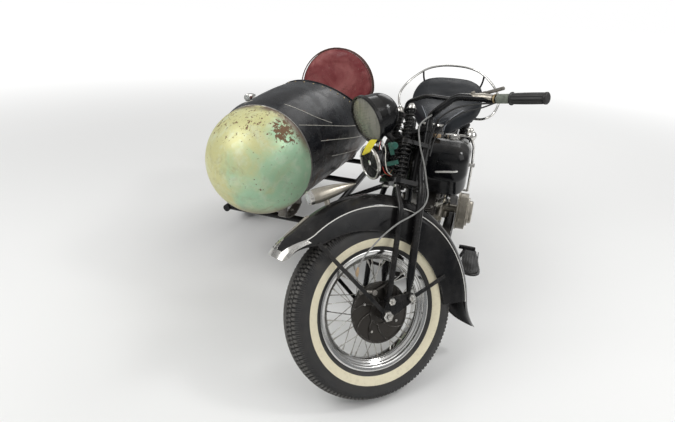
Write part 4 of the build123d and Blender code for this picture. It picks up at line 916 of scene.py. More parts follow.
@dataclass(frozen=True)
class LampGlass:
    """Aged lamp glass with upright flutes."""

    name: str
    colour: Colour = (0.62, 0.60, 0.47)
    flutes: float = 260.0
    clear: float = 0.12

    def build(self) -> bpy.types.Material:
        """Makes the material."""
        material, w, shader = bare_material(self.name)
        where = w.place()
        wave = w.node("ShaderNodeTexWave", bands_direction="Y")
        w.put(wave.inputs["Vector"], where)
        wave.inputs["Scale"].default_value = self.flutes / 6.2
        wave.inputs["Distortion"].default_value = 0.6
        haze = w.grain(where, 18.0, 6, 0.6)
        rays = w.grain(w.place((1.0, 1.0, 0.14)), 60.0, 5, 0.65)
        colour = w.mix(haze, self.colour, tuple(min(1.0, 1.25 * value) for value in self.colour))
        colour = w.mix(w.math("MULTIPLY", w.step(rays, 0.42, 0.7), 0.6), colour,
                       tuple(0.45 * value for value in self.colour))
        w.put(shader.inputs["Base Color"], colour)
        shader.inputs["Roughness"].default_value = 0.16
        shader.inputs["Coat Weight"].default_value = 0.7
        shader.inputs["Coat Roughness"].default_value = 0.04
        shader.inputs["Transmission Weight"].default_value = self.clear
        w.put(shader.inputs["Normal"], w.bump(wave.outputs["Fac"], 0.0012, 0.5))
        return material


@dataclass(frozen=True)
class Covering:
    """Plain covering for wires, tags and small plastic or painted trim, a little soiled."""

    name: str
    colour: Colour
    soil: Colour = (0.05, 0.045, 0.04)
    roughness: float = 0.45
    amount: float = 0.4

    def build(self) -> bpy.types.Material:
        """Makes the material."""
        material, w, shader = bare_material(self.name)
        where = w.place()
        grain = w.grain(where, 70.0, 6, 0.7)
        mask = w.math("MULTIPLY", w.step(grain, 0.45, 0.75), self.amount)
        w.put(shader.inputs["Base Color"], w.mix(mask, self.colour, self.soil))
        w.put(shader.inputs["Roughness"], w.spread(grain, self.roughness - 0.08, self.roughness + 0.2))
        w.put(shader.inputs["Normal"], w.bump(w.grain(where, 500.0, 2), 0.0002, 0.4))
        return material


@dataclass
class Finishes:
    """Every material of the outfit, made once."""

    black: bpy.types.Material = field(init=False)

    def __post_init__(self) -> None:
        """Builds the materials."""
        self.black = Enamel("black enamel").build()
        self.fork_black = Enamel("fork enamel", dust=0.16, wear=0.8, dull=0.36, rust=0.14,
                                 roughness=0.14).build()
        self.engine_black = Enamel("engine enamel", roughness=0.35, dull=0.6, dust=0.3, rust=0.2).build()
        self.body = BodyEnamel("sidecar enamel").build()
        self.bright = BrightPlate("bright plate", relief=0.00004).build()
        self.tired_bright = BrightPlate("tired plate", rust=0.34, grime=0.85, roughness=0.2,
                                        dull=0.5).build()
        self.rim = BrightPlate("rim plate", colour=(0.62, 0.62, 0.61), rust=0.12, grime=0.35, roughness=0.1,
                               dull=0.24, relief=0.00004).build()
        self.rail = BrightPlate("rail plate", colour=(0.72, 0.71, 0.68), rust=0.02, grime=0.15,
                                roughness=0.14, dull=0.22, relief=0.0).build()
        self.pipe = CastMetal("pipe steel", colour=(0.13, 0.12, 0.11), rust=0.34, coarse=300.0).build()
        # Pale silver: the real bars on the tanks, and the painted highlight along the front fender's
        # ridges.
        self.silver_bars_and_ridge_highlight = Covering("silver bars and ridge highlight", (0.7, 0.69, 0.65), (0.36, 0.34, 0.3), 0.3, 0.3).build()
        self.pale_line = Covering("pale line", (0.52, 0.5, 0.44), (0.2, 0.18, 0.15), 0.35, 0.6).build()
        self.alloy = CastMetal("cast alloy").build()
        self.brass = CastMetal("tarnished brass", colour=(0.46, 0.36, 0.2), dirt=(0.09, 0.06, 0.03)).build()
        self.iron = CastMetal("barrel iron", colour=(0.07, 0.066, 0.062), metallic=0.4, roughness=0.5,
                              rust=0.3).build()
        self.steel = CastMetal("dull steel", colour=(0.3, 0.285, 0.26), rust=0.26, coarse=300.0).build()
        self.nickel = CastMetal("dull nickel", colour=(0.44, 0.41, 0.35), dirt=(0.13, 0.11, 0.085),
                                rust=0.1, grime=0.45, roughness=0.3, coarse=260.0).build()
        self.plate = CastMetal("brake plate", colour=(0.055, 0.05, 0.045), dirt=(0.02, 0.017, 0.014),
                               rust=0.22, grime=0.8, roughness=0.34, coarse=200.0).build()
        self.chain = CastMetal("chain steel", colour=(0.16, 0.145, 0.12), rust=0.3, grime=0.9).build()
        self.tyre = Rubber("tyre rubber").build()
        self.grip = Rubber("grip rubber", colour=(0.01, 0.01, 0.01), dust=0.15, cracks=0.0,
                           roughness=0.5).build()
        self.wall = Covering("cream wall", (0.74, 0.68, 0.5), (0.42, 0.36, 0.24), 0.55, 0.3).build()
        self.saddle = Hide("saddle hide", (0.004, 0.005, 0.007), (0.014, 0.017, 0.021),
                           (0.002, 0.002, 0.003), 0.36, 0.56, dust=0.03, gleam=0.09).build()
        self.stitch = Covering("waxed thread", (0.2, 0.21, 0.23), roughness=0.7).build()
        self.maroon = Hide("maroon hide", (0.2, 0.036, 0.04), (0.36, 0.115, 0.11), (0.08, 0.016, 0.016),
                           0.34, 0.55, 5.0, 0.2, 0.9).build()
        self.piping = Covering("dark piping", (0.09, 0.04, 0.03), (0.04, 0.02, 0.015), 0.6).build()
        self.lens = LampGlass("headlamp glass", (0.16, 0.155, 0.12)).build()
        self.small_glass = LampGlass("small glass", (0.6, 0.62, 0.6), 900.0, 0.35).build()
        self.red_glass = LampGlass("red glass", (0.35, 0.01, 0.01), 900.0, 0.2).build()
        low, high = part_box("sidecar_nose")
        centre = (low[0], (low[1] + high[1]) / 2, (low[2] + high[2]) / 2)
        self.patina = Patina("nose patina", centre).build()
        self.green_paint = Covering("green paint", (0.008, 0.085, 0.062), (0.02, 0.03, 0.02), 0.4,
                                    0.7).build()
        self.yellow = Covering("yellow tag", (0.78, 0.66, 0.02), (0.5, 0.42, 0.05), 0.4, 0.25).build()
        self.sleeve = Covering("worn sleeve", (0.2, 0.22, 0.18), (0.09, 0.09, 0.075), 0.5, 0.8).build()
        self.wires = {
            "red": Covering("red wire", (0.45, 0.05, 0.03)).build(),
            "white": Covering("white wire", (0.6, 0.58, 0.52)).build(),
            "orange": Covering("orange wire", (0.62, 0.24, 0.08)).build(),
            "green": Covering("green wire", (0.03, 0.22, 0.12)).build(),
            "black": Covering("black wire", (0.015, 0.015, 0.015)).build(),
            "tan": Covering("tan boot", (0.42, 0.3, 0.18)).build(),
            "grey": Covering("grey cable", (0.24, 0.24, 0.23)).build(),
        }


@dataclass
class RoadWheel:
    """One spoked wheel: treaded tyre with cream side bands, ribbed rim, crossed spokes, hub and drum."""

    name: str
    body: Body
    frame: Matrix
    sprocket: bool = False
    lugs: int = 132
    spokes_per_side: int = 20
    cross_deg: float = 42.0
    drum_radius: float = 104.0

    def node(self, part: str) -> str:
        """The CAD node of a part of this wheel."""
        return f"{self.name}_{part}"

    def outline(self) -> list[tuple[float, float]]:
        """The tyre's outer outline as pairs of radius and width, from bead to bead."""
        wall = arc_through((224.0, 41.7), (272.0, 62.0), (320.0, 49.0), 16)
        crown = arc_through((320.0, 49.0), (TYRE_RADIUS, 0.0), (320.0, -49.0), 44)
        other = [(radius, -width) for radius, width in reversed(wall)]
        return wall[:-1] + crown + other[1:]

    def depth(self, radius: float, width: float, turn: float) -> float:
        """How deep the tread is cut at a place.

        Args:
            radius: Radius from the axle in millimetres.
            width: Distance from the tyre's middle plane.
            turn: Place round the tyre, in lugs.

        Returns:
            Depth in millimetres.
        """
        across = abs(width)
        if radius > 319.0:
            for groove in (5.0, 14.5):
                if abs(across - groove) < 1.3:
                    return 5.2
            for row, (low, high) in enumerate(((16.0, 25.0), (27.5, 37.0), (39.5, 49.5))):
                if low <= across < high:
                    share = (turn + 0.33 * row + (0.5 if width > 0 else 0.0)) % 1.0
                    return 5.6 if share < 0.42 else 0.0
            if across >= 25.0:
                return 5.6
            return 0.0
        if 296.0 < radius <= 320.5:
            fade = min(1.0, (radius - 296.0) / 8.0)
            return 1.8 * fade if (turn * 2.0) % 1.0 < 0.5 else 0.0
        if 276.0 < radius < 279.0 or 229.0 < radius < 231.0:
            return 0.7
        return 0.0

    def tyre(self, finishes: Finishes) -> None:
        """Makes the treaded tyre and its two cream bands."""
        outline = self.outline()
        count = len(outline)
        normals = []
        for index in range(count):
            before = outline[max(index - 1, 0)]
            after = outline[min(index + 1, count - 1)]
            dr, dy = after[0] - before[0], after[1] - before[1]
            length = math.hypot(dr, dy)
            normals.append((-dy / length, dr / length))
        steps = self.lugs * 6
        rings = []
        lug_top_highlight_marks: list[float] = []
        for step in range(steps):
            turn = step * self.lugs / steps
            angle = 2 * math.pi * step / steps
            cos, sin = math.cos(angle), math.sin(angle)
            ring = []
            for (radius, width), (nr, ny) in zip(outline, normals):
                cut = self.depth(radius, width, turn)
                r, y = radius - nr * cut - 0.15 * nr, width - ny * cut
                ring.append(self.frame @ Vector((r * cos / 1000, r * sin / 1000, y / 1000)))
                lug_top_highlight_marks.append(1.0 if cut == 0.0 and radius > 319.0 else 0.0)
            inner = 207.0
            for y in (-41.5, 41.5):
                ring.append(self.frame @ Vector((inner * cos / 1000, inner * sin / 1000, y / 1000)))
                lug_top_highlight_marks.append(0.0)
            rings.append(ring)
        form = Form()
        form.loft(rings, loop=True)
        piece = form.make(f"{self.name}_treaded_tyre", finishes.tyre, self.body, 28.0)
        # The tread attribute marks the uncut lug tops for the rubber's painted highlight, which stands in
        # for shade in the grooves.
        piece.data.attributes.new("tread", "FLOAT", "POINT").data.foreach_set("value", lug_top_highlight_marks)
        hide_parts(self.node("tyre"))
        wall = arc_through((224.0, 41.7), (272.0, 62.0), (320.0, 49.0), 60)
        band = [(r, y) for r, y in wall if 235.5 <= r <= 269.0]
        bands = Form()
        for side in Side:
            skin = [(r, side.value * (y + 0.35)) for r, y in band]
            under = [(r, side.value * (y - 1.5)) for r, y in reversed(band)]
            bands.lathe(skin + under, self.frame, 160, closed=True)
        piece = bands.make(f"{self.name}_cream_bands", finishes.wall, self.body)

    def rim(self, finishes: Finishes) -> None:
        """Makes the ribbed drop-centre rim."""
        side = [(206.3, 41.0), (214.0, 42.0), (219.5, 41.2), (221.6, 42.6), (221.6, 44.2), (219.8, 45.0),
                (214.5, 44.9), (211.0, 43.6), (207.5, 43.4), (204.4, 41.8), (203.2, 38.6), (203.2, 32.6),
                (199.0, 30.4), (197.6, 28.6), (197.8, 26.6), (196.0, 24.8), (190.6, 22.6), (189.0, 20.6),
                (188.4, 17.8), (185.0, 14.6), (184.0, 10.0)]
        top = [(206.0, 41.0), (206.0, 31.0), (187.2, 17.8)]
        inner = side + [(r, -y) for r, y in reversed(side)]
        outer = [(r, -y) for r, y in top] + [(r, y) for r, y in reversed(top)]
        form = Form()
        form.lathe(inner + outer, self.frame, 128, closed=True)
        piece = form.make(f"{self.name}_ribbed_rim", finishes.rim, self.body, 50.0)
        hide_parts(self.node("rim"))

    def spot(self, radius: float, angle: float, width: float) -> Vector:
        """A place on the wheel from its radius, angle and width."""
        local = Vector((radius * math.cos(angle), radius * math.sin(angle), width)) / 1000.0
        return self.frame @ local

    def lacing(self, finishes: Finishes) -> None:
        """Makes the crossed spokes and their nipples."""
        form = Form()
        nipples = Form()
        for side in Side:
            for index in range(self.spokes_per_side):
                lean = self.cross_deg if index % 2 else -self.cross_deg
                turn = (index + (0.5 if side is Side.LEFT else 0.0)) * 2 * math.pi / self.spokes_per_side
                inside = 3.0 if index % 2 else -3.0
                start = self.spot(53.0, turn + math.radians(lean), side.value * (31.5 + inside))
                end = self.spot(183.0, turn, side.value * 9.0)
                form.tube([start, end], 1.75, 6)
                run = (end - start).normalized()
                nipples.taper([end - run * 0.016, end - run * 0.012, end], [2.1, 3.0, 3.2], 6)
                nipples.lathe([(0.01, 3.4), (2.6, 2.6), (3.4, 0.0), (0.01, -0.6)],
                              facing(start, (self.frame.to_3x3() @ Vector((0, 0, inside))).normalized()), 8)
        piece = form.make(f"{self.name}_spokes", finishes.tired_bright, self.body)
        piece = nipples.make(f"{self.name}_nipples", finishes.tired_bright, self.body)

    def hub(self, finishes: Finishes) -> None:
        """Makes the hub barrel, its flanges, the brake drum and the sprocket."""
        barrel = [(10.2, 34.0), (24.0, 34.2), (27.0, 33.0), (57.5, 33.0), (58.0, 31.5), (57.5, 29.2),
                  (37.0, 28.6), (32.0, 22.0), (29.5, 10.0), (29.0, 0.0)]
        full = barrel + [(r, -y) for r, y in reversed(barrel[:-1])]
        form = Form()
        form.lathe(full + [(10.2, -33.0), (10.2, 33.0)], self.frame, 64, closed=True)
        hub = form.make(f"{self.name}_hub_shell", finishes.steel, self.body, 40.0)
        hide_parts(self.node("hub"))
        edge = self.drum_radius
        ribs = []
        for index in range(4):
            y = 40.0 + index * 5.0
            ribs += [(edge - 4.0, y - 1.6), (edge, y - 1.2), (edge, y + 1.2), (edge - 4.0, y + 1.6)]
        drum = [(30.0, 34.2), (72.0, 35.0), (88.0, 36.0), (edge - 6.0, 37.0), *ribs, (edge, 57.6),
                (edge, 59.9), (edge - 7.0, 60.0), (edge - 9.0, 52.0), (70.0, 50.0), (20.0, 50.0),
                (20.0, 34.2)]
        form = Form()
        form.lathe(drum, self.frame, 96, closed=True)
        if self.sprocket:
            form.lathe([(20.0, 52.0), (74.0, 60.0), (74.0, 69.0), (20.0, 69.0)], self.frame, 64,
                       closed=True)
        else:
            form.lathe([(12.0, 50.0), (30.0, 58.0), (34.0, 59.5), (12.0, 60.0)], self.frame, 48,
                       closed=True)
        drum_piece = form.make(f"{self.name}_brake_drum", finishes.engine_black, self.body, 40.0)
        if self.sprocket:
            teeth = 51
            low, high = [], []
            for index in range(teeth * 6):
                share = (index % 6) / 6
                radius = 91.0 - (4.6 if share < 0.34 else 2.0 if share < 0.5 or share > 0.8 else 0.0)
                angle = index * 2 * math.pi / (teeth * 6)
                low.append(self.spot(radius, angle, 69.4))
                high.append(self.spot(radius, angle, 78.6))
            wheel = Form()
            wheel.loft([low, high], caps=True)
            piece = wheel.make(f"{self.name}_sprocket_teeth", finishes.chain, self.body)

    def build(self, finishes: Finishes) -> None:
        """Makes the whole wheel."""
        self.tyre(finishes)
        self.rim(finishes)
        self.lacing(finishes)
        self.hub(finishes)
        log.info("%s wheel: %d spokes, %d tread lugs", self.name, 2 * self.spokes_per_side, self.lugs)


@dataclass
class SpringFork:
    """The leading-link fork's coil springs, acorn nuts, plate bolts, axle nut and rings."""

    yard: Yard
    finishes: Finishes
    low_top: float = 826.3
    ahead: float = 92.0
    half: float = 41.0
    split: float = 131.0
    length: float = 262.0
    plate_wall: float = 14.0
    lower_radius: float = 25.0
    upper_radius: float = 18.0

    def helix(self, start: float, end: float, left: float, coil: float, wire: float,
              turns: float) -> list[Vector]:
        """The middle line of one coil spring about its rod, in the parked position."""
        points = []
        steps = int(turns * 18)
        low = start + wire
        high = end - wire
        for step in range(steps + 1):
            share = step / steps
            eased = min(max((share * turns - 0.7) / (turns - 1.4), 0.0), 1.0)
            along = low + (high - low) * eased
            angle = 2 * math.pi * share * turns
            spot = self.yard.along(along, self.ahead + coil * math.cos(angle),
                                   left + coil * math.sin(angle))
            points.append(self.yard.turned(spot))
        return points

    def springs(self) -> None:
        """Makes the four coils."""
        form = Form()
        for side in Side:
            left = side.value * self.half
            base = self.low_top
            form.tube(self.helix(base, base + self.split - 0.8, left, self.lower_radius - 3.9, 3.8, 9.0),
                      3.8, 8)
            high = base + self.split + self.plate_wall + 0.4
            form.tube(self.helix(high, base + self.length, left, self.upper_radius - 3.2, 3.1, 9.5), 3.1, 8)
        piece = form.make("fork_coils", self.finishes.fork_black, Body.STEERING)
        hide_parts("fork_springs")

    def caps(self) -> None:
        """Makes the acorn nuts and the washers that hold the springs."""
        bright = Form()
        for side in Side:
            left = side.value * self.half
            seat = self.yard.turned(self.yard.along(self.low_top + self.length + 0.4, self.ahead, left))
            up = self.yard.steer.to_3x3() @ self.yard.axis
            frame = facing(seat, up)
            bright.lathe([(18.0, 0.0), (18.0, 2.2), (14.4, 2.6), (14.2, 9.0), (12.8, 14.0), (9.0, 19.5),
                          (4.0, 22.8), (0.01, 23.6)], frame, 32)
            nut = facing(self.yard.turned(self.yard.along(self.low_top - 24.0, self.ahead, left)), -up)
            bright.nut(nut, 27.0, 9.0)
        piece = bright.make("fork_acorn_nuts", self.finishes.tired_bright, Body.STEERING)

    def nuts(self) -> None:
        """Makes the axle nuts, rocker nuts, plate bolts and leg rings."""
        form = Form()
        wheel_z = TYRE_RADIUS - self.yard.drop
        spots = [(WHEELBASE, wheel_z, 118.2, 38.0, 14.0), (1388.0, wheel_z + 24.0, 118.2, 29.0, 9.6),
                 (1467.0, wheel_z + 40.0, 112.8, 27.0, 9.6)]
        for side in Side:
            across = self.yard.steer.to_3x3() @ Vector((0, side.value, 0))
            for x, z, y, width, height in spots:
                frame = facing(self.yard.turned((x, side.value * (y - 2.0), z)), across)
                form.nut(frame, width, height)
                form.lathe([(0.01, height + 5.0), (width * 0.2, height + 4.4),
                            (width * 0.22, height - 1.0)], frame, 16)
        piece = form.make("fork_nuts", self.finishes.tired_bright, Body.STEERING)
        rings = Form()
        up = self.yard.steer.to_3x3() @ self.yard.axis
        for side in Side:
            for along, ahead, left, radius in ((806.0, 14.0, 66.0, 18.5), (792.0, 14.0, 72.0, 17.4)):
                frame = facing(self.yard.turned(self.yard.along(along, ahead, side.value * left)), up)
                rings.lathe([(radius - 4, -4.0), (radius, -3.0), (radius + 0.8, 0.0), (radius, 3.0),
                             (radius - 4, 4.0)],
                            frame, 28)
        piece = rings.make("fork_leg_rings", self.finishes.fork_black, Body.STEERING)

    def build(self) -> None:
        """Makes the fork's trim."""
        self.springs()
        self.caps()
        self.nuts()
        log.info("spring fork: four coils, acorn nuts, nuts and rings")


@dataclass
class FrontFender:
    """The deep front fender: rolled edges, painted-highlight ridge lines, bright tip with louvres."""

    yard: Yard
    finishes: Finishes
    crown: float = FENDER_CROWN
    ridge: float = 380.0
    half: float = 69.0
    start_deg: float = 47.0
    end_deg: float = 196.0
    flap: float = 150.0
    flare: float = 38.0
    flare_end_deg: float = 66.0
    valance: float = 341.0
    forward: float = 73.0
    down: float = 27.0

    def place(self, u: float, radius: float, y: float) -> Vector:
        """A parked place from a distance round the fender, a radius and a width.

        Args:
            u: Degrees from straight ahead; past end_deg, millimetres along the flap follow.
            radius: Distance from the axle.
            y: Distance to the left.

        Returns:
            The place in the scene.
        """
        near = min(max((self.flare_end_deg - u) / (self.flare_end_deg - self.start_deg), 0.0), 1.0)
        rise = self.flare * near * near * (3.0 - 2.0 * near)
        back = max(380.0 - radius, 0.0) * 0.18 * near
        angle = math.radians(min(u + back, self.end_deg))
        radius += rise * min(max((radius - 300.0) / 60.0, 0.0),
                             1.0 - 0.5 * max(radius - self.ridge, 0.0) / 45.0)
        x, z = radius * math.cos(angle), radius * math.sin(angle)
        run = max(u - self.end_deg, 0.0)
        x -= run * math.sin(angle) + 0.42 * run * run / self.flap
        z += run * math.cos(angle)
        return self.yard.turned((WHEELBASE + x, y, TYRE_RADIUS - self.yard.drop + z))

    def edge(self, u: float) -> float:
        """The radius of the skirt's lower edge at a place round the fender."""
        angle = math.radians(min(u, self.end_deg))
        run = max(u - self.end_deg, 0.0)
        cos, sin = math.cos(angle), math.sin(angle)
        px, pz = -run * sin - self.forward, run * cos + self.down
        b = cos * px + sin * pz
        inside = b * b - (px * px + pz * pz - self.valance**2)
        low = 240.0 if u <= self.end_deg else 300.0
        return max(low, -b + math.sqrt(inside)) if inside > 0 else low

    def section(self, u: float, grow: float, arc_steps: int = 18,
                skirt_steps: int = 6) -> list[tuple[float, float]]:
        """The outer outline across the fender at a place, pushed out by grow."""
        edge = self.edge(u)
        top = self.ridge
        points = []
        for step in range(skirt_steps):
            radius = edge + (top - edge) * step / skirt_steps
            points.append((radius, self.half + 3.0 * (top - radius) / (top - 240.0) + grow))
        arc = arc_through((top, self.half + grow), (self.crown + grow, 0.0), (top, -self.half - grow),
                          arc_steps)
        return points + arc + [(r, -y) for r, y in reversed(points)]

    def stations(self) -> list[float]:
        """Places round the fender, down to the skirt's end."""
        return [self.start_deg + (self.end_deg - self.start_deg) * k / 96 for k in range(97)]

    def blade(self, form: Form) -> None:
        """Adds the crown's narrowing blade below the skirt's end."""
        rings = []
        for step in range(21):
            share = step / 20
            half = self.half * (1.0 - 0.84 * share**3)
            rise = (self.crown - self.ridge) * (half / self.half) ** 1.1
            ring = []
            for inset in (0.1, 2.4):
                arc = arc_through((self.crown - rise, half - inset), (self.crown - inset, 0.0),
                                  (self.crown - rise, inset - half), 20)
                ring.append([self.place(self.end_deg + self.flap * share, r, y) for r, y in arc])
            rings.append(ring[0] + ring[1][::-1])
        form.loft(rings, caps=True)

    def shell(self) -> None:
        """Makes the sheet, thick enough to show an edge."""
        rings = []
        for u in self.stations():
            outer = self.section(u, -0.1)
            inner = [(r - (2.0 if abs(y) < self.half * 0.98 else 0.0),
                      y - math.copysign(2.2, y) * (abs(y) > 20))
                     for r, y in reversed(self.section(u, -0.1))]
            rings.append([self.place(u, r, y) for r, y in outer + inner])
        form = Form()
        form.loft(rings, caps=True)
        self.blade(form)
        piece = form.make("fender_sheet", self.finishes.black, Body.STEERING, 40.0)
        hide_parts("front_fender")

    def trim(self) -> None:
        """Makes the rolled edge and the ridge lines, coloured pale silver as a painted highlight."""
        roll = Form()
        line = Form()
        for side in Side:
            edge_path, ridge_path = [], []
            for u in self.stations():
                radius = self.edge(u)
                y = self.half + 3.0 * (self.ridge - radius) / (self.ridge - 240.0)
                edge_path.append(self.place(u, radius + 1.8, side.value * (y - 1.4)))
                if u > self.start_deg + 4:
                    ridge_path.append(self.place(u, self.ridge + 1.5, side.value * (self.half - 1.0)))
            roll.tube(edge_path, 2.4, 8)
            line.tube(ridge_path, 1.9, 8)
        piece = roll.make("fender_rolled_edge", self.finishes.black, Body.STEERING)
        # The ridge line's pale silver colour is a painted highlight where the ridge catches light.
        piece = line.make("fender_ridge_painted_highlight", self.finishes.silver_bars_and_ridge_highlight, Body.STEERING)

    def tip(self) -> None:
        """Makes the bright tip: a tongue up the crown and two horns back along the skirts."""
        rows = 44
        rings = []
        start = self.start_deg - 1.2
        section = self.section(self.start_deg, 2.2, 64, 10)
        for row in range(rows + 1):
            share = row / rows
            ring = []
            for r, y in section:
                across = min(abs(y) / self.half, 1.0)
                tongue = 6.2 * math.exp(-((across / 0.27) ** 4))
                horn = 11.0 * max(0.0, (across - 0.76) / 0.24) ** 1.7
                reach = 3.6 + tongue + horn
                ring.append(self.place(start + reach * share, r, y))
            rings.append(ring)
        form = Form()
        form.loft(rings, closed=False)
        piece = form.make("fender_bright_tip", self.finishes.bright, Body.STEERING, 60.0)
        thick = piece.modifiers.new("sheet", "SOLIDIFY")
        thick.thickness = 0.0016
        thick.offset = -1.0
        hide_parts("fender_tip")
        strip = Form()
        path = [self.place(self.start_deg + 8.5 + 0.9 * k, self.crown + 1.2, 0.0) for k in range(18)]
        strip.taper(path, [1.0] + [3.6 + 0.2 * k for k in range(16)] + [2.0], 8)
        piece = strip.make("fender_crown_strip", self.finishes.nickel, Body.STEERING)
        slots = Form()
        for index in range(3):
            for lane in (-1, 1):
                u = self.start_deg + 2.2 + index * 1.7
                y = lane * 7.0
                path = [self.place(u + k * 0.28, self.crown + 1.9, y + lane * k * 3.4) for k in range(4)]
                slots.tube(path, 1.0, 6)
        piece = slots.make("fender_tip_louvres", self.finishes.engine_black, Body.STEERING)

    def build(self) -> None:
        """Makes the fender."""
        self.shell()
        self.trim()
        self.tip()
        log.info("front fender: sheet, rolled edge, ridge lines and bright tip")


class Skin:
    """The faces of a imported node, to lay trim on."""

    def __init__(self, node: str) -> None:
        """Reads the node's mesh."""
        mesh = frame["nodes"][node].data
        self.tree = BVHTree.FromPolygons([v.co.copy() for v in mesh.vertices],
                                         [tuple(p.vertices) for p in mesh.polygons])

    def hit(self, start: Vector, direction: Vector) -> Optional[tuple[Vector, Vector]]:
        """Where a ray first meets the faces.

        Args:
            start: The ray's start.
            direction: Its direction.

        Returns:
            The place and the outward normal, or None.
        """
        place, normal, _, _ = self.tree.ray_cast(start, direction.normalized())
        if place is None:
            return None
        return place, normal if normal.dot(direction) < 0 else -normal

    def ring(self, centre: Vector, a: Vector, b: Vector, degrees: Sequence[float],
             reach: float = 0.7) -> list[Vector]:
        """Places where rays sent in towards a centre, in the plane of a and b, meet the faces.

        Args:
            centre: The centre.
            a: Direction at 0 degrees.
            b: Direction at 90 degrees.
            degrees: Angles in that plane.
            reach: How far out the rays start.

        Returns:
            The places met.
        """
        places = []
        for angle in degrees:
            out = a * math.cos(math.radians(angle)) + b * math.sin(math.radians(angle))
            met = self.hit(centre + out * reach, -out)
            if met:
                places.append(met[0])
        return places


def plump(piece: bpy.types.Object, pressure: float, cap: float, voxel: float = 0.006) -> None:
    """Swells a closed pad with the cloth solver and keeps the settled shape.

    Args:
        piece: The pad.
        pressure: Pressure inside it.
        cap: The furthest a point may move, in metres.
        voxel: Size of the remesh, in metres.
    """
    remesh = piece.modifiers.new("remesh", "REMESH")
    remesh.mode = "VOXEL"
    remesh.voxel_size = voxel
    graph = bpy.context.evaluated_depsgraph_get()
    fine = bpy.data.meshes.new_from_object(piece.evaluated_get(graph))
    piece.modifiers.clear()
    piece.data = fine
    start = [vertex.co.copy() for vertex in fine.vertices]
    cloth = piece.modifiers.new("cloth", "CLOTH")
    cloth.settings.use_pressure = True
    cloth.settings.uniform_pressure_force = pressure
    cloth.settings.quality = 4
    cloth.settings.effector_weights.gravity = 0.0
    cloth.point_cache.frame_start = 1
    cloth.point_cache.frame_end = 20
    for step in range(1, 21):
        bpy.context.scene.frame_set(step)
    graph = bpy.context.evaluated_depsgraph_get()
    settled = bpy.data.meshes.new_from_object(piece.evaluated_get(graph))
    piece.modifiers.clear()
    piece.data = settled
    bpy.context.scene.frame_set(1)
    for vertex, before in zip(settled.vertices, start):
        move = vertex.co - before
        if move.length > cap:
            vertex.co = before + move.normalized() * cap
    fine_again = piece.modifiers.new("fine", "SUBSURF")
    fine_again.levels = fine_again.render_levels = 1
    settled.shade_smooth()


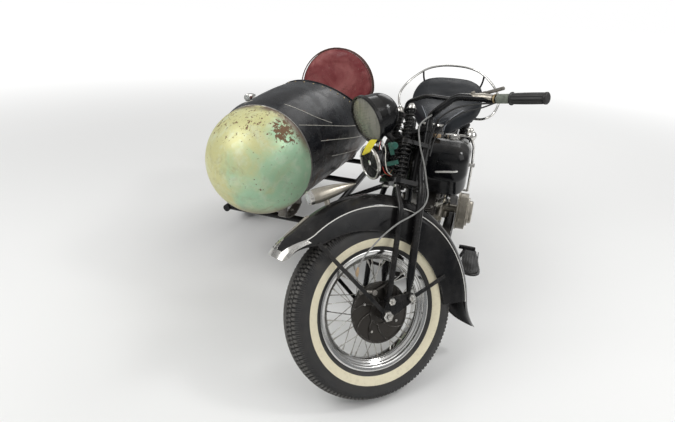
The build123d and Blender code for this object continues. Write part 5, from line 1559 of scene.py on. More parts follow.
@dataclass
class Saddle:
    """The two-up saddle: padded hide, piping round its skirt, sewn lines on its tongue."""

    yard: Yard
    finishes: Finishes
    stations: tuple = (
        # x, half width, low z, high z
        (640.0, 44.0, 794.0, 824.0),
        (590.0, 70.0, 784.0, 850.0),
        (540.0, 91.0, 780.5, 867.5),
        (400.0, 149.0, 788.5, 883.0),
        (310.0, 180.0, 797.0, 906.0),
        (220.0, 195.0, 812.5, 943.0),
        (150.0, 190.0, 825.0, 973.0),
        (90.0, 177.0, 838.5, 985.0),
        (50.0, 148.0, 860.0, 983.0),
        (30.0, 118.0, 875.0, 971.0),
    )

    def across(self, share: float) -> tuple[float, float, float, float]:
        """The interpolated station at a share of the length."""
        last = len(self.stations) - 1
        place = min(share * last, last - 1e-6)
        index = int(place)
        t = place - index
        rows = [self.stations[min(max(index + k, 0), last)] for k in (-1, 0, 1, 2)]
        return tuple(between(*values, t) for values in zip(*rows))

    def ring(self, share: float, count: int = 64) -> list[Vector]:
        """The section's outline at a share of the length."""
        x, half, low, high = self.across(share)
        end = min(share, 1 - share)
        fade = min(1.0, 0.62 + 3.8 * end)
        points = []
        for step in range(count):
            angle = 2 * math.pi * step / count
            cos, sin = math.cos(angle), math.sin(angle)
            power = 0.62 if sin > 0 else 0.42
            y = half * fade * math.copysign(abs(cos) ** 0.72, cos)
            z = (high - low) / 2 * math.copysign(abs(sin) ** power, sin) * (0.8 + 0.2 * fade)
            dip = 7.0 * math.exp(-((x - 330.0) / 120.0) ** 2) * max(sin, 0.0) * math.exp(-((y / 60.0) ** 2))
            wave = 1.6 * noise.noise(Vector((x, y, z)) / 70.0) + 0.8 * noise.noise(Vector((x, y, z)) / 28.0)
            flare = 5.0 * max(0.0, -sin) ** 0.4 * (1 if abs(cos) > 0.3 else 0.4)
            points.append(self.yard.at((x, y - math.copysign(4 - flare * 0.8, y),
                                        (low + high) / 2 + z - dip + wave - 1.2)))
        return points

    def build(self) -> None:
        """Makes the saddle."""
        count, rows = 64, 54
        rings = [self.ring(row / rows, count) for row in range(rows + 1)]
        form = Form()
        form.loft(rings, caps=True)
        pad = form.make("saddle_hide", self.finishes.saddle, Body.CHASSIS, 75.0)
        smooth = pad.modifiers.new("smooth", "SUBSURF")
        smooth.levels = smooth.render_levels = 1
        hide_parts("saddle")
        hide = BVHTree.FromPolygons([v.co.copy() for v in pad.data.vertices],
                                    [tuple(p.vertices) for p in pad.data.polygons])
        lines = Form()

        def lay(path: Sequence[tuple[float, float]], radius: float, dash: bool) -> None:
            """Lays a line on the top of the hide, whole or as stitches."""
            placed = []
            for x, y in path:
                spot, normal, _, _ = hide.ray_cast(self.yard.at((x, y, 1200.0)), Vector((0, 0, -1)))
                if spot is not None:
                    placed.append(spot + normal * radius * 0.0003)
            if not dash:
                lines.tube(placed, radius, 6)
                return
            for index in range(0, len(placed) - 2, 3):
                lines.tube(placed[index:index + 2], radius, 5)

        for side in Side:
            stops = [640.0 - 2.4 * k for k in range(96)]
            edge = [(x, side.value * self.width_at(x) * 0.74) for x in stops]
            lay(edge, 2.2, False)
            lay([(x, y * 0.9) for x, y in edge], 1.0, True)
            for row in range(8):
                start = 616.0 - 26.0 * row
                run = [(start - 1.6 * k, side.value * (8.0 + 1.7 * k)) for k in range(46)]
                lay([(x, y) for x, y in run if abs(y) < self.width_at(x) * 0.64], 0.9, True)
        welt = lines.make("saddle_stitching", self.finishes.stitch, Body.CHASSIS)
        skirt = Form()
        for drop, radius in ((0.0, 3.2), (9.0, 2.0)):
            path = []
            for row in range(2, rows - 1):
                ring = rings[row]
                lower = ring[int(count * (0.5 + 0.09))]
                path.append(lower + Vector((0, 0, 0.0035 * math.sin(row * 1.1) + drop / 1000)))
            mirror = [Vector((p.x, 2 * self.yard.at((0, 0, 0)).y - p.y, p.z)) for p in path]
            for line in (path, mirror):
                skirt.tube(smooth_path(line, 3), radius, 7)
        piping = skirt.make("saddle_piping", self.finishes.saddle, Body.CHASSIS)
        log.info("saddle: hide, piping and stitching")

    def width_at(self, x: float) -> float:
        """The saddle's half width at x."""
        best = min(range(201), key=lambda k: abs(self.across(k / 200)[0] - x))
        return self.across(best / 200)[1]


@dataclass
class SidecarSeat:
    """The sidecar's arched backrest and its seat cushion, swelled as cloth and piped."""

    yard: Yard
    finishes: Finishes
    middle: float = SIDECAR_MIDDLE
    cushion_low: Point = (8.0, -963.0, 503.0)
    cushion_high: Point = (399.0, -537.0, 600.0)
    corner: float = 40.0

    def half_at(self, height: float) -> float:
        """The backrest's half width at a height above its foot."""
        if height <= 250.0:
            return 200.0 + 22.0 * height / 250.0
        if height <= 340.0:
            return 222.0 + 26.0 * (height - 250.0) / 90.0
        return math.sqrt(max(248.0**2 - (height - 340.0) ** 2, 0.0))

    def lift(self, across: float, height: float, depth: float) -> Vector:
        """A place on the backrest from its width, height and depth off its board."""
        foot = Vector((-66.0, self.middle, 501.4))
        up, out = Vector((-0.105, 0, 0.9945)), Vector((0.9945, 0, 0.105))
        spot = foot + Vector((0, across, 0)) + up * height + out * depth
        return self.yard.at(spot)

    def backrest(self) -> None:
        """Makes the backrest pad with its sewn channels and rim piping."""
        rows, count = 60, 72
        rings = []
        for row in range(rows + 1):
            share = row / rows
            height = 3.0 + 582.0 * math.sin(share * math.pi / 2)
            half = max(self.half_at(height) - 4.0, 3.0)
            near = min(height, 585.0 - height)
            thick = 25.0 * math.sqrt(max(0.06, 1 - (1 - min(1.0, near / 24.0)) ** 2))
            ring = []
            for step in range(count):
                angle = 2 * math.pi * step / count
                cos, sin = math.cos(angle), math.sin(angle)
                across = half * math.copysign(abs(cos) ** 0.36, cos)
                groove = 0.0
                if sin > 0 and height < 500.0:
                    groove = 4.2 * max(0.0, math.cos(across / 84.0 * 2 * math.pi)) ** 6
                depth = 26.0 + thick * math.copysign(abs(sin) ** 0.55, sin) - groove
                ring.append(self.lift(across, height, max(depth, 1.2)))
            rings.append(ring)
        form = Form()
        form.loft(rings, caps=True)
        pad = form.make("backrest_pad", self.finishes.maroon, Body.CHASSIS, 80.0)
        plump(pad, 3.0, 0.005, 0.007)
        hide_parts("sidecar_backrest")
        welts = Form()
        for depth, radius in ((44.0, 4.0), (8.0, 4.0)):
            path = [self.lift(-self.half_at(h) + 1.5, h, depth) for h in (4, 60, 120, 180, 250, 300, 340)]
            path += [self.lift(-248 * math.cos(a), 340 + 246 * math.sin(a), depth)
                     for a in (math.pi * k / 24 for k in range(1, 24))]
            path += [self.lift(self.half_at(h) - 1.5, h, depth) for h in (340, 300, 250, 180, 120, 60, 4)]
            welts.tube(path, radius, 8)
        piece = welts.make("backrest_piping", self.finishes.piping, Body.CHASSIS)

    def outline(self, inset: float, count: int = 96) -> list[tuple[float, float]]:
        """The cushion's rounded outline seen from above, drawn in by inset."""
        x0, y0 = self.cushion_low[0] + inset, self.cushion_low[1] + inset
        x1, y1 = self.cushion_high[0] - inset, self.cushion_high[1] - inset
        r = self.corner
        points = []
        for cx, cy, start in ((x1 - r, y1 - r, 0), (x0 + r, y1 - r, 90), (x0 + r, y0 + r, 180),
                              (x1 - r, y0 + r, 270)):
            for k in range(count // 4):
                a = math.radians(start + 90 * k / (count // 4 - 1))
                points.append((cx + r * math.cos(a), cy + r * math.sin(a)))
        return points

    def cushion(self) -> None:
        """Makes the seat cushion."""
        low, high = self.cushion_low[2], self.cushion_high[2]
        rings = []
        for z, inset in ((low, 14.0), (low + 6, 5.0), (low + 20, 2.0), ((low + high) / 2, 5.0),
                         (high - 20, 2.0), (high - 6, 5.0), (high, 14.0)):
            rings.append([self.yard.at((x, y, z)) for x, y in self.outline(inset)])
        form = Form()
        form.loft(rings, caps=True)
        pad = form.make("sidecar_cushion_pad", self.finishes.maroon, Body.CHASSIS, 80.0)
        plump(pad, 4.0, 0.007, 0.008)
        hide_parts("sidecar_cushion")
        welts = Form()
        for z in (low + 10.0, high - 6.0):
            welts.tube([self.yard.at((x, y, z)) for x, y in self.outline(1.5)], 3.6, 8, loop=True)
        piece = welts.make("sidecar_cushion_piping", self.finishes.piping, Body.CHASSIS)

    def build(self) -> None:
        """Makes the sidecar's soft goods."""
        self.backrest()
        self.cushion()
        log.info("sidecar seat: backrest and cushion")


@dataclass
class SidecarTrim:
    """Cowl bead, studs, nose seam, pale lines, fender edges and crown lamp of the sidecar."""

    yard: Yard
    finishes: Finishes
    middle: float = SIDECAR_MIDDLE
    wheel: Point = SIDECAR_WHEEL

    def mouth_edge(self) -> list[Vector]:
        """The edge of the cockpit's mouth, once round."""
        skin = self.skin
        left: list[Vector] = []
        side_line = [(-150.0 + 14.0 * k, 776.0 - 0.66 * k) for k in range(1, 9)]
        arc = arc_through((-24.0, 770.0), (96.0, 738.0), (214.0, 772.0), 22)
        for x, z in side_line + arc:
            met = skin.hit(self.yard.at((x, self.middle + 500.0, z - 2.0)), Vector((0, -1, 0)))
            if met:
                left.append(met[0])
        slope = Vector((266.0, 0.0, 192.0)).normalized()
        centre = self.yard.at((296.0, self.middle, 828.0)) + Vector((slope.z, 0, -slope.x)) * 0.002
        turn = [6.0 + 4.0 * k for k in range(43)]
        arch = skin.ring(centre, Vector((0, 1, 0)), slope, turn)
        arch = [spot for spot in arch if spot.z > left[-1].z]
        mirror = [Vector((p.x, 2 * self.yard.at((0, self.middle, 0)).y - p.y, p.z)) for p in reversed(left)]
        back_centre = self.yard.at((-152.0, self.middle, 700.0))
        back = skin.ring(back_centre, Vector((0, -1, 0)), Vector((0, 0, 1)),
                         [18.0 + 6.0 * k for k in range(25)])
        back = [spot for spot in back if spot.z > self.yard.at((0, 0, 779.0)).z]
        return left + arch + mirror + back

    def body(self) -> None:
        """Lays the cowl bead, the seam ring of the nose and the studs."""
        self.skin = Skin("sidecar_body")
        edge = self.mouth_edge()
        bead = Form()
        bead.tube(edge, 6.0, 10, loop=True)
        piece = bead.make("cowl_bead", self.finishes.body, Body.CHASSIS)
        seam = Form()
        at = facing(self.yard.at((1008.2, self.middle, 655.0)), Vector((1, 0, 0)))
        seam.lathe([(252.0, -3.0), (257.4, -6.0), (259.2, -3.2), (259.2, 1.6), (256.6, 3.4), (252.0, 2.0)],
                   at, 120, True)
        piece = seam.make("nose_seam", self.finishes.steel, Body.CHASSIS)
        studs = Form()
        slope = Vector((266.0, 0.0, 192.0)).normalized()
        centre = self.yard.at((314.0, self.middle, 806.0))
        for angle in range(16, 166, 12):
            out = Vector((0, 1, 0)) * math.cos(math.radians(angle)) + slope * math.sin(math.radians(angle))
            met = self.skin.hit(centre + out * 0.7, -out)
            if met and met[0].z > self.yard.at((0, 0, 800.0)).z:
                studs.lathe([(5.2, -0.5), (5.2, 0.9), (3.4, 2.6), (1.6, 3.3), (0.01, 3.5)], facing(*met),
                            14)
        piece = studs.make("cowl_studs", self.finishes.brass, Body.CHASSIS)
        lines = Form()
        for points in (((925.0, 912.0), (887.0, 885.0), (816.0, 843.0), (699.0, 794.0)),
                       ((985.0, 839.0), (824.0, 807.0), (623.0, 765.0), (497.0, 739.0), (300.0, 704.0),
                        (80.0, 672.0)),
                       ((867.0, 744.0), (712.0, 715.0), (511.0, 676.0), (330.0, 644.0), (140.0, 618.0)),
                       ((747.0, 637.0), (551.0, 599.0), (421.0, 575.0), (290.0, 552.0))):
            path = smooth_path([Vector((x, 0.0, z)) for x, z in points], 16)
            for side in Side:
                placed = []
                for spot in path:
                    met = self.skin.hit(self.yard.at((spot.x, self.middle + side.value * 500.0, spot.z)),
                                        Vector((0, -side.value, 0)))
                    if met:
                        placed.append(met[0] + met[1] * 0.0001)
                lines.tube(placed, 1.5, 6)
        piece = lines.make("body_lines", self.finishes.pale_line, Body.CHASSIS)

    def fender(self) -> None:
        """Makes the fender's rolled edges and the three-cornered lamp on its crown."""
        rolls = Form()
        x0, y0, z0 = self.wheel
        for side in Side:
            path = []
            for k in range(73):
                a = math.radians(8.0 + 178.0 * k / 72)
                path.append(self.yard.at((x0 + 301.5 * math.cos(a), y0 + side.value * (86.0 - 0.8),
                                          z0 + 301.5 * math.sin(a))))
            rolls.tube(path, 3.4, 8)
        piece = rolls.make("sidecar_fender_edges", self.finishes.black, Body.CHASSIS)
        wedge = Form()
        corners = ((-36.0, -20.0), (-36.0, 20.0), (40.0, 0.0))
        rings = []
        for lift, scale in ((0.0, 1.0), (5.0, 1.02), (11.0, 0.86), (14.0, 0.5)):
            ring = []
            for index in range(3):
                ax, ay = corners[index]
                bx, by = corners[(index + 1) % 3]
                for k in range(8):
                    t = 0.06 + 0.88 * k / 7
                    x, y = (ax + (bx - ax) * t) * scale, (ay + (by - ay) * t) * scale
                    bend = math.sqrt(max(0.0, 419.0**2 - x * x)) - 419.0
                    ring.append(self.yard.at((x0 - 62.0 + x, y0 + y,
                                              z0 + 414.0 + bend + lift - 62.0**2 / 840.0)))
            rings.append(ring)
        wedge.loft(rings, caps=True)
        piece = wedge.make("three_cornered_lamp", self.finishes.small_glass, Body.CHASSIS, 40.0)

    def build(self) -> None:
        """Makes the sidecar's trim."""
        self.body()
        self.fender()
        log.info("sidecar: bead, studs, seam, lines and lamps")


@dataclass
class DriveChain:
    """The roller chain round the rear and gearbox sprockets."""

    yard: Yard
    finishes: Finishes
    rear: tuple[float, float, float] = (0.0, TYRE_RADIUS, 97.0)
    front: tuple[float, float, float] = (411.0, 290.0, 50.0)
    middle: float = 74.0
    pitch: float = 14.6

    def path(self) -> list[tuple[float, float]]:
        """Points of the chain's closed line, in x and z."""
        (x0, z0, r0), (x1, z1, r1) = self.rear, self.front
        base = math.atan2(z1 - z0, x1 - x0)
        lean = math.acos((r0 - r1) / math.hypot(x1 - x0, z1 - z0))
        points = []
        for k in range(41):
            a = base + lean + (2 * math.pi - 2 * lean) * k / 40
            points.append((x0 + r0 * math.cos(a), z0 + r0 * math.sin(a)))
        for k in range(25):
            a = base - lean + 2 * lean * k / 24
            points.append((x1 + r1 * math.cos(a), z1 + r1 * math.sin(a)))
        points.append(points[0])
        return points

    def build(self) -> None:
        """Makes the links."""
        points = self.path()
        lengths = [0.0]
        for a, b in zip(points, points[1:]):
            lengths.append(lengths[-1] + math.dist(a, b))
        count = 2 * round(lengths[-1] / self.pitch / 2)
        pins = []
        for index in range(count):
            goal = lengths[-1] * index / count
            k = max(i for i in range(len(lengths) - 1) if lengths[i] <= goal + 1e-9)
            t = (goal - lengths[k]) / max(lengths[k + 1] - lengths[k], 1e-9)
            pins.append((points[k][0] + (points[k + 1][0] - points[k][0]) * t,
                         points[k][1] + (points[k + 1][1] - points[k][1]) * t))
        form = Form()
        for index in range(count):
            (ax, az), (bx, bz) = pins[index], pins[(index + 1) % count]
            turn = math.atan2(bz - az, bx - ax)
            spread = 4.6 if index % 2 else 3.2
            for side in Side:
                outline = []
                for k in range(9):
                    a = turn + math.pi / 2 + math.pi * k / 8
                    outline.append((ax + 4.6 * math.cos(a), az + 4.6 * math.sin(a)))
                for k in range(9):
                    a = turn - math.pi / 2 + math.pi * k / 8
                    outline.append((bx + 4.6 * math.cos(a), bz + 4.6 * math.sin(a)))
                y = self.middle + side.value * spread
                form.loft([[self.yard.at((x, y + d, z)) for x, z in outline] for d in (-0.7, 0.7)],
                          caps=True)
            form.tube([self.yard.at((ax, self.middle - 5.7, az)),
                       self.yard.at((ax, self.middle + 5.7, az))], 2.4, 8)
        piece = form.make("chain_links", self.finishes.chain, Body.CHASSIS)
        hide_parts("drive_chain")
        log.info("drive chain: %d links", count)


@dataclass
class Engine:
    """Screws, covers, pushrod tubes, plugs, pipes and ribs of the vee engine and gearbox."""

    yard: Yard
    finishes: Finishes
    crank: tuple[float, float] = (738.0, 270.0)
    clutch: tuple[float, float] = (411.0, 290.0)
    primary_outer: float = 156.0
    case_half: float = 66.0
    lean_deg: float = 22.5

    def left(self, x: float, y: float, z: float) -> Matrix:
        """A frame facing the rider's left."""
        return facing(self.yard.at((x, y, z)), Vector((0, 1, 0)))

    def right(self, x: float, y: float, z: float) -> Matrix:
        """A frame facing the rider's right."""
        return facing(self.yard.at((x, y, z)), Vector((0, -1, 0)))

    def up_barrel(self, lean: float, x: float, y: float, height: float) -> Vector:
        """A place beside a barrel from its lean and height above the crank."""
        a = math.radians(lean)
        cx, cz = self.crank
        return self.yard.at((cx + height * math.sin(a) + x * math.cos(a), y,
                             cz + height * math.cos(a) - x * math.sin(a)))

    def covers(self) -> None:
        """Makes the screws and covers on both sides."""
        bright = Form()
        cx, cz = self.crank
        kx, kz = self.clutch
        for k in range(7):
            a = math.radians(-78 + 26 * k)
            bright.nut(self.left(cx + 68 * math.cos(a), self.primary_outer - 8.5, cz + 68 * math.sin(a)),
                       12.0, 9.4)
        for k in range(9):
            a = math.radians(88 + 23 * k)
            bright.nut(self.left(kx + 91 * math.cos(a), self.primary_outer - 8.5, kz + 91 * math.sin(a)),
                       12.0, 9.4)
        for x in (505.0, 590.0, 668.0):
            share = (x - kx) / (cx - kx)
            for sign in (1, -1):
                edge = 91.0 - 24.0 * share
                bright.nut(self.left(x, self.primary_outer - 8.5, kz + (cz - kz) * share + sign * edge),
                           12.0, 9.4)
        piece = bright.make("primary_screws", self.finishes.tired_bright, Body.CHASSIS)
        plates = Form()
        dome = [(44.0, -1.0), (44.0, 3.4), (40.0, 5.6), (30.0, 6.4), (28.0, 8.8), (12.0, 10.2),
                (0.01, 10.6)]
        plates.lathe(dome, self.left(kx, self.primary_outer, kz), 64)
        plates.lathe([(24.0, -1.0), (24.0, 3.0), (20.0, 4.8), (0.01, 5.4)],
                     self.left(cx - 4, self.primary_outer, cz), 48)
        plates.lathe([(58.0, -1.0), (58.0, 4.0), (52.0, 7.5), (20.0, 9.0), (0.01, 9.4)],
                     self.right(cx + 20, -self.case_half - 34, cz + 8), 64)
        plates.lathe([(30.0, -1.0), (30.0, 5.0), (25.0, 9.0), (0.01, 10.0)],
                     self.right(cx + 96, -96.0, cz + 34), 40)
        plates.lathe([(34.0, -1.0), (34.0, 3.0), (30.0, 5.4), (0.01, 6.0)],
                     self.right(400.0, -112.0, 300.0), 40)
        piece = plates.make("engine_covers", self.finishes.alloy, Body.CHASSIS, 30.0)
        screws = Form()
        for k in range(8):
            a = math.radians(22 + 45 * k)
            screws.nut(self.right(cx + 20 + 76 * math.cos(a), -self.case_half - 33.0,
                                  cz + 8 + 76 * math.sin(a)), 11.0, 6.0)
        for k in range(5):
            a = math.radians(72 * k)
            screws.nut(self.right(400 + 42 * math.cos(a), -111.0, 300 + 42 * math.sin(a)), 10.0, 5.0)
        for x, z in ((cx - 92, cz - 40), (cx - 60, cz - 84), (cx + 2, cz - 88), (cx + 62, cz - 84),
                     (cx + 104, cz - 38)):
            screws.nut(self.left(x, 60.0, z), 14.0, 10.0)
            screws.nut(self.right(x, -60.0, z), 14.0, 10.0)
        piece = screws.make("case_bolts", self.finishes.steel, Body.CHASSIS)

    def top_end(self) -> None:
        """Makes pushrod tubes, spark plugs, rocker boxes, head bolts and plug leads."""
        tubes = Form()
        boxes = Form()
        plugs = Form()
        leads = Form()
        for lean in (self.lean_deg, -self.lean_deg):
            out = 1 if lean > 0 else -1
            for offset in (-20.0, 20.0):
                low = self.up_barrel(lean * 0.8, offset * 0.7, -92.0, 96.0)
                high = self.up_barrel(lean, offset, -84.0, 270.0)
                tubes.tube([low, high], 8.2, 14)
                run = (high - low).normalized()
                tubes.tube([low - run * 0.004, low + run * 0.024], 11.0, 14)
                tubes.tube([high - run * 0.02, high + run * 0.003], 10.4, 14)
            a = math.radians(lean)
            up = Vector((math.sin(a), 0, math.cos(a)))
            head = facing(self.up_barrel(lean, out * 4.0, -30.0, 300.0), up)
            boxes.block(head, (74.0, 116.0, 30.0), 7.0)
            for dx in (-26.0, 26.0):
                for dy in (-46.0, 46.0):
                    boxes.nut(head @ Matrix.Translation(Vector((dx, dy, 15.0)) / 1000), 12.0, 6.0)
            for y in (-56.0, 56.0):
                for x in (-52.0, 52.0):
                    if out * x > -20:
                        boxes.nut(facing(self.up_barrel(lean, x, y, 285.0), up), 13.0, 8.0)
            seat = self.up_barrel(lean, out * 10.0, 66.0, 262.0)
            direction = Vector((0.25 * out, 1.0, 0.45)).normalized()
            at = facing(seat, direction)
            plugs.lathe([(6.5, 0.0), (6.5, 7.0), (9.6, 7.0), (9.6, 14.0), (6.2, 15.0), (5.6, 17.0),
                         (6.0, 20.0), (5.4, 23.0), (5.6, 26.0), (3.2, 38.0), (2.6, 44.0), (0.01, 45.0)], at,
                         20)
            end = seat + direction * 0.044
            goal = self.yard.at((700.0, 40.0, 588.0))
            middle = (end + goal) / 2 + Vector((0, 0.03, -0.012))
            leads.tube(smooth_path([end, end + direction * 0.02, middle, goal], 10), 3.4, 8)
        for form, name, finish, slot in (
            (tubes, "pushrod_tubes", self.finishes.tired_bright, "bright_plate"),
            (boxes, "rocker_boxes", self.finishes.alloy, "engine_alloy"),
            (plugs, "spark_plugs", self.finishes.wires["white"], "bright_plate"),
            (leads, "plug_leads", self.finishes.wires["black"], "grip_rubber"),
        ):
            piece = form.make(name, finish, Body.CHASSIS)

    def cleaner(self) -> None:
        """Makes the ribbed air cleaner."""
        ribs = []
        for index in range(9):
            y = 10.0 + index * 4.2
            ribs += [(90.6, y), (92.4, y + 0.8), (92.4, y + 2.0), (90.6, y + 2.8)]
        profile = [(97.6, 0.4), (97.9, 3.0), (97.6, 7.0), (92.6, 8.4), *ribs, (91.0, 47.6), (86.0, 48.8),
                   (74.0, 49.2), (72.0, 51.0), (71.6, 56.6), (69.0, 58.0), (58.6, 58.4), (57.0, 60.4),
                   (56.8, 70.0), (53.0, 74.6), (46.0, 76.2), (40.0, 75.6), (34.0, 73.0), (10.0, 72.4),
                   (0.01, 72.4)]
        form = Form()
        form.lathe(profile, self.left(650.0, 164.0, 415.0), 96)
        for k in range(3):
            a = math.radians(90 + 120 * k)
            form.nut(self.left(650 + 22 * math.cos(a), 164.0 + 72.0, 415 + 22 * math.sin(a)), 9.0, 4.4)
        piece = form.make("ribbed_air_cleaner", self.finishes.nickel, Body.CHASSIS, 28.0)
        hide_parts("air_cleaner")

    def pipes(self) -> None:
        """Makes fuel and oil lines, the choke lever and the battery straps."""
        lines = Form()
        for points, radius in (
            ([(640, 60, 572), (646, 74, 540), (640, 96, 500), (646, 108, 462), (650, 112, 446)], 3.6),
            ([(560, -40, 600), (530, -60, 520), (520, -72, 430), (560, -78, 350), (640, -84, 330)], 3.6),
            ([(470, -44, 560), (500, -74, 460), (560, -90, 380), (660, -98, 300)], 3.0),
        ):
            lines.tube(smooth_path([self.yard.at(p) for p in points], 8), radius, 10)
        piece = lines.make("fuel_and_oil_lines", self.finishes.wires["black"], Body.CHASSIS)
        straps = Form()
        for x in (412.0, 448.0):
            path = [(x, -71.4, 400), (x, -71.4, 511), (x, -69, 513.4), (x, 69, 513.4), (x, 71.4, 511),
                    (x, 71.4, 400)]
            straps.tube([self.yard.at(p) for p in path], 2.4, 6)
        straps.lathe([(0.01, 6.0), (7.0, 5.0), (9.0, 0.0), (9.0, -1.0)], self.left(650.0, 118.0, 470.0), 16)
        piece = straps.make("battery_straps", self.finishes.tired_bright, Body.CHASSIS)

    def build(self) -> None:
        """Makes the engine's trim."""
        self.covers()
        self.top_end()
        self.cleaner()
        self.pipes()
        log.info("engine: covers, screws, pushrods, plugs, air cleaner and pipes")


@dataclass
class TankTrim:
    """Bright caps, front bars, dial, tan strip and shift knob of the tanks."""

    yard: Yard
    finishes: Finishes

    def top(self, x: float, y: float, lift: float = 0.0) -> Matrix:
        """A frame on the tanks' sloping top."""
        slope = 68.0 / (992.0 - 96.0 - 552.0)
        z = 838.0 - (896.0 - x) * slope
        return facing(self.yard.at((x, y, z + lift)), Vector((-slope, 0, 1)).normalized())

    def build(self) -> None:
        """Makes the tanks' trim."""
        bright = Form()
        for side in Side:
            at = self.top(850.0, side.value * 95.0, 0.6)
            rim = [(28.4, 0.0), (28.4, 6.0), (33.0, 7.0), (33.2, 16.0), (31.0, 19.4), (24.0, 21.2),
                   (8.0, 22.2), (0.01, 22.4)]
            bright.lathe(rim, at, 64)
            for k in range(24):
                a = 2 * math.pi * k / 24
                spot = at @ Vector((0.0332 * math.cos(a), 0.0332 * math.sin(a), 0.0075))
                top = at @ Vector((0.0332 * math.cos(a), 0.0332 * math.sin(a), 0.0155))
                bright.tube([spot, top], 1.5, 6)
        piece = bright.make("bright_tank_caps", self.finishes.bright, Body.CHASSIS, 30.0)
        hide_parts("tank_caps")
        skin = Skin("fuel_tanks")
        bars = Form()
        for side in Side:
            path = []
            for k in range(18):
                y = 58.0 + 5.4 * k
                met = skin.hit(self.yard.at((1200.0, side.value * y, 715.0 + 0.155 * (y - 58.0))),
                               Vector((-1, 0, 0)))
                if met:
                    path.append(met[0] + met[1] * 0.0012)
            bars.taper(path, [1.6] + [4.2] * (len(path) - 2) + [1.6], 8)
        piece = bars.make("tank_side_bars", self.finishes.silver_bars_and_ridge_highlight, Body.CHASSIS)
        dial = Form()
        at = self.top(790.0, 0.0, 0.0)
        dial.lathe([(50.4, 46.0), (51.6, 50.0), (50.0, 53.6), (46.0, 54.2), (44.6, 51.4), (44.0, 50.6)], at,
                   64, True)
        piece = dial.make("dial_rim", self.finishes.bright, Body.CHASSIS, 30.0)
        face = Form()
        face.lathe([(45.0, 50.6), (30.0, 51.2), (0.01, 51.4)], at, 48)
        piece = face.make("dial_face", self.finishes.wires["black"], Body.CHASSIS)
        marks = Form()
        for k in range(41):
            a = math.radians(-140 + 280 * k / 40)
            long = 8.0 if k % 5 == 0 else 4.0
            ends = (40.0 - long, 40.0)
            p = [at @ (Vector((math.sin(a) * r, math.cos(a) * r, 51.7)) / 1000) for r in ends]
            marks.tube(p, 0.5 if k % 5 else 0.8, 4)
        hand = [at @ (Vector((x, y, 52.4)) / 1000) for x, y in ((6.0, 5.0), (-30.0, -22.0))]
        marks.taper(hand, [1.4, 0.5], 5)
        piece = marks.make("dial_marks", self.finishes.wires["white"], Body.CHASSIS)
        panel = Form()
        panel.block(self.top(905.0, 12.0, 8.0), (86.0, 15.0, 16.0), 3.0)
        piece = panel.make("tan_tank_strip", self.finishes.wires["tan"], Body.CHASSIS)
        knob = Form()
        turns = [math.radians(a) for a in range(-72, 85, 12)]
        profile = [(24.0 * math.cos(a), 24.0 * math.sin(a)) for a in turns]
        knob.lathe([(6.4, -30.0), *profile, (0.01, 24.0)],
                   facing(self.yard.at((704.0, 174.0, 816.0)), Vector((0, 0, 1))), 40)
        piece = knob.make("shift_knob", self.finishes.rail, Body.CHASSIS)
        log.info("tanks: caps, front bars, dial, strip and shift knob")


@dataclass
class GrabRail:
    """The bright hoop behind the saddle and the dark struts that carry it."""

    yard: Yard
    finishes: Finishes

    def build(self) -> None:
        """Makes the hoop and its struts."""
        left = [(180, 116, 792), (214, 158, 794), (250, 208, 804), (250, 250, 828), (206, 272, 862),
                (140, 277, 894), (78, 256, 934), (30, 212, 978), (-6, 150, 1018), (-26, 78, 1037)]
        right = [(x, -y, z) for x, y, z in reversed(left)]
        hoop = Form()
        hoop.tube(smooth_path([self.yard.at(p) for p in [*left, (-31, 0, 1042), *right]], 8), 6.6, 14)
        piece = hoop.make("rail_hoop", self.finishes.rail, Body.CHASSIS)
        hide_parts("grab_rail")
        struts = Form()
        for side in Side:
            s = side.value
            path = [(8, s * 176, 1002), (-4, s * 168, 950), (-10, s * 140, 890), (8, s * 104, 838),
                    (60, s * 90, 803), (180, s * 92, 792)]
            struts.tube(smooth_path([self.yard.at(p) for p in path], 6), 5.4, 12)
        piece = struts.make("rail_struts", self.finishes.fork_black, Body.CHASSIS)
        log.info("grab rail: hoop and struts")


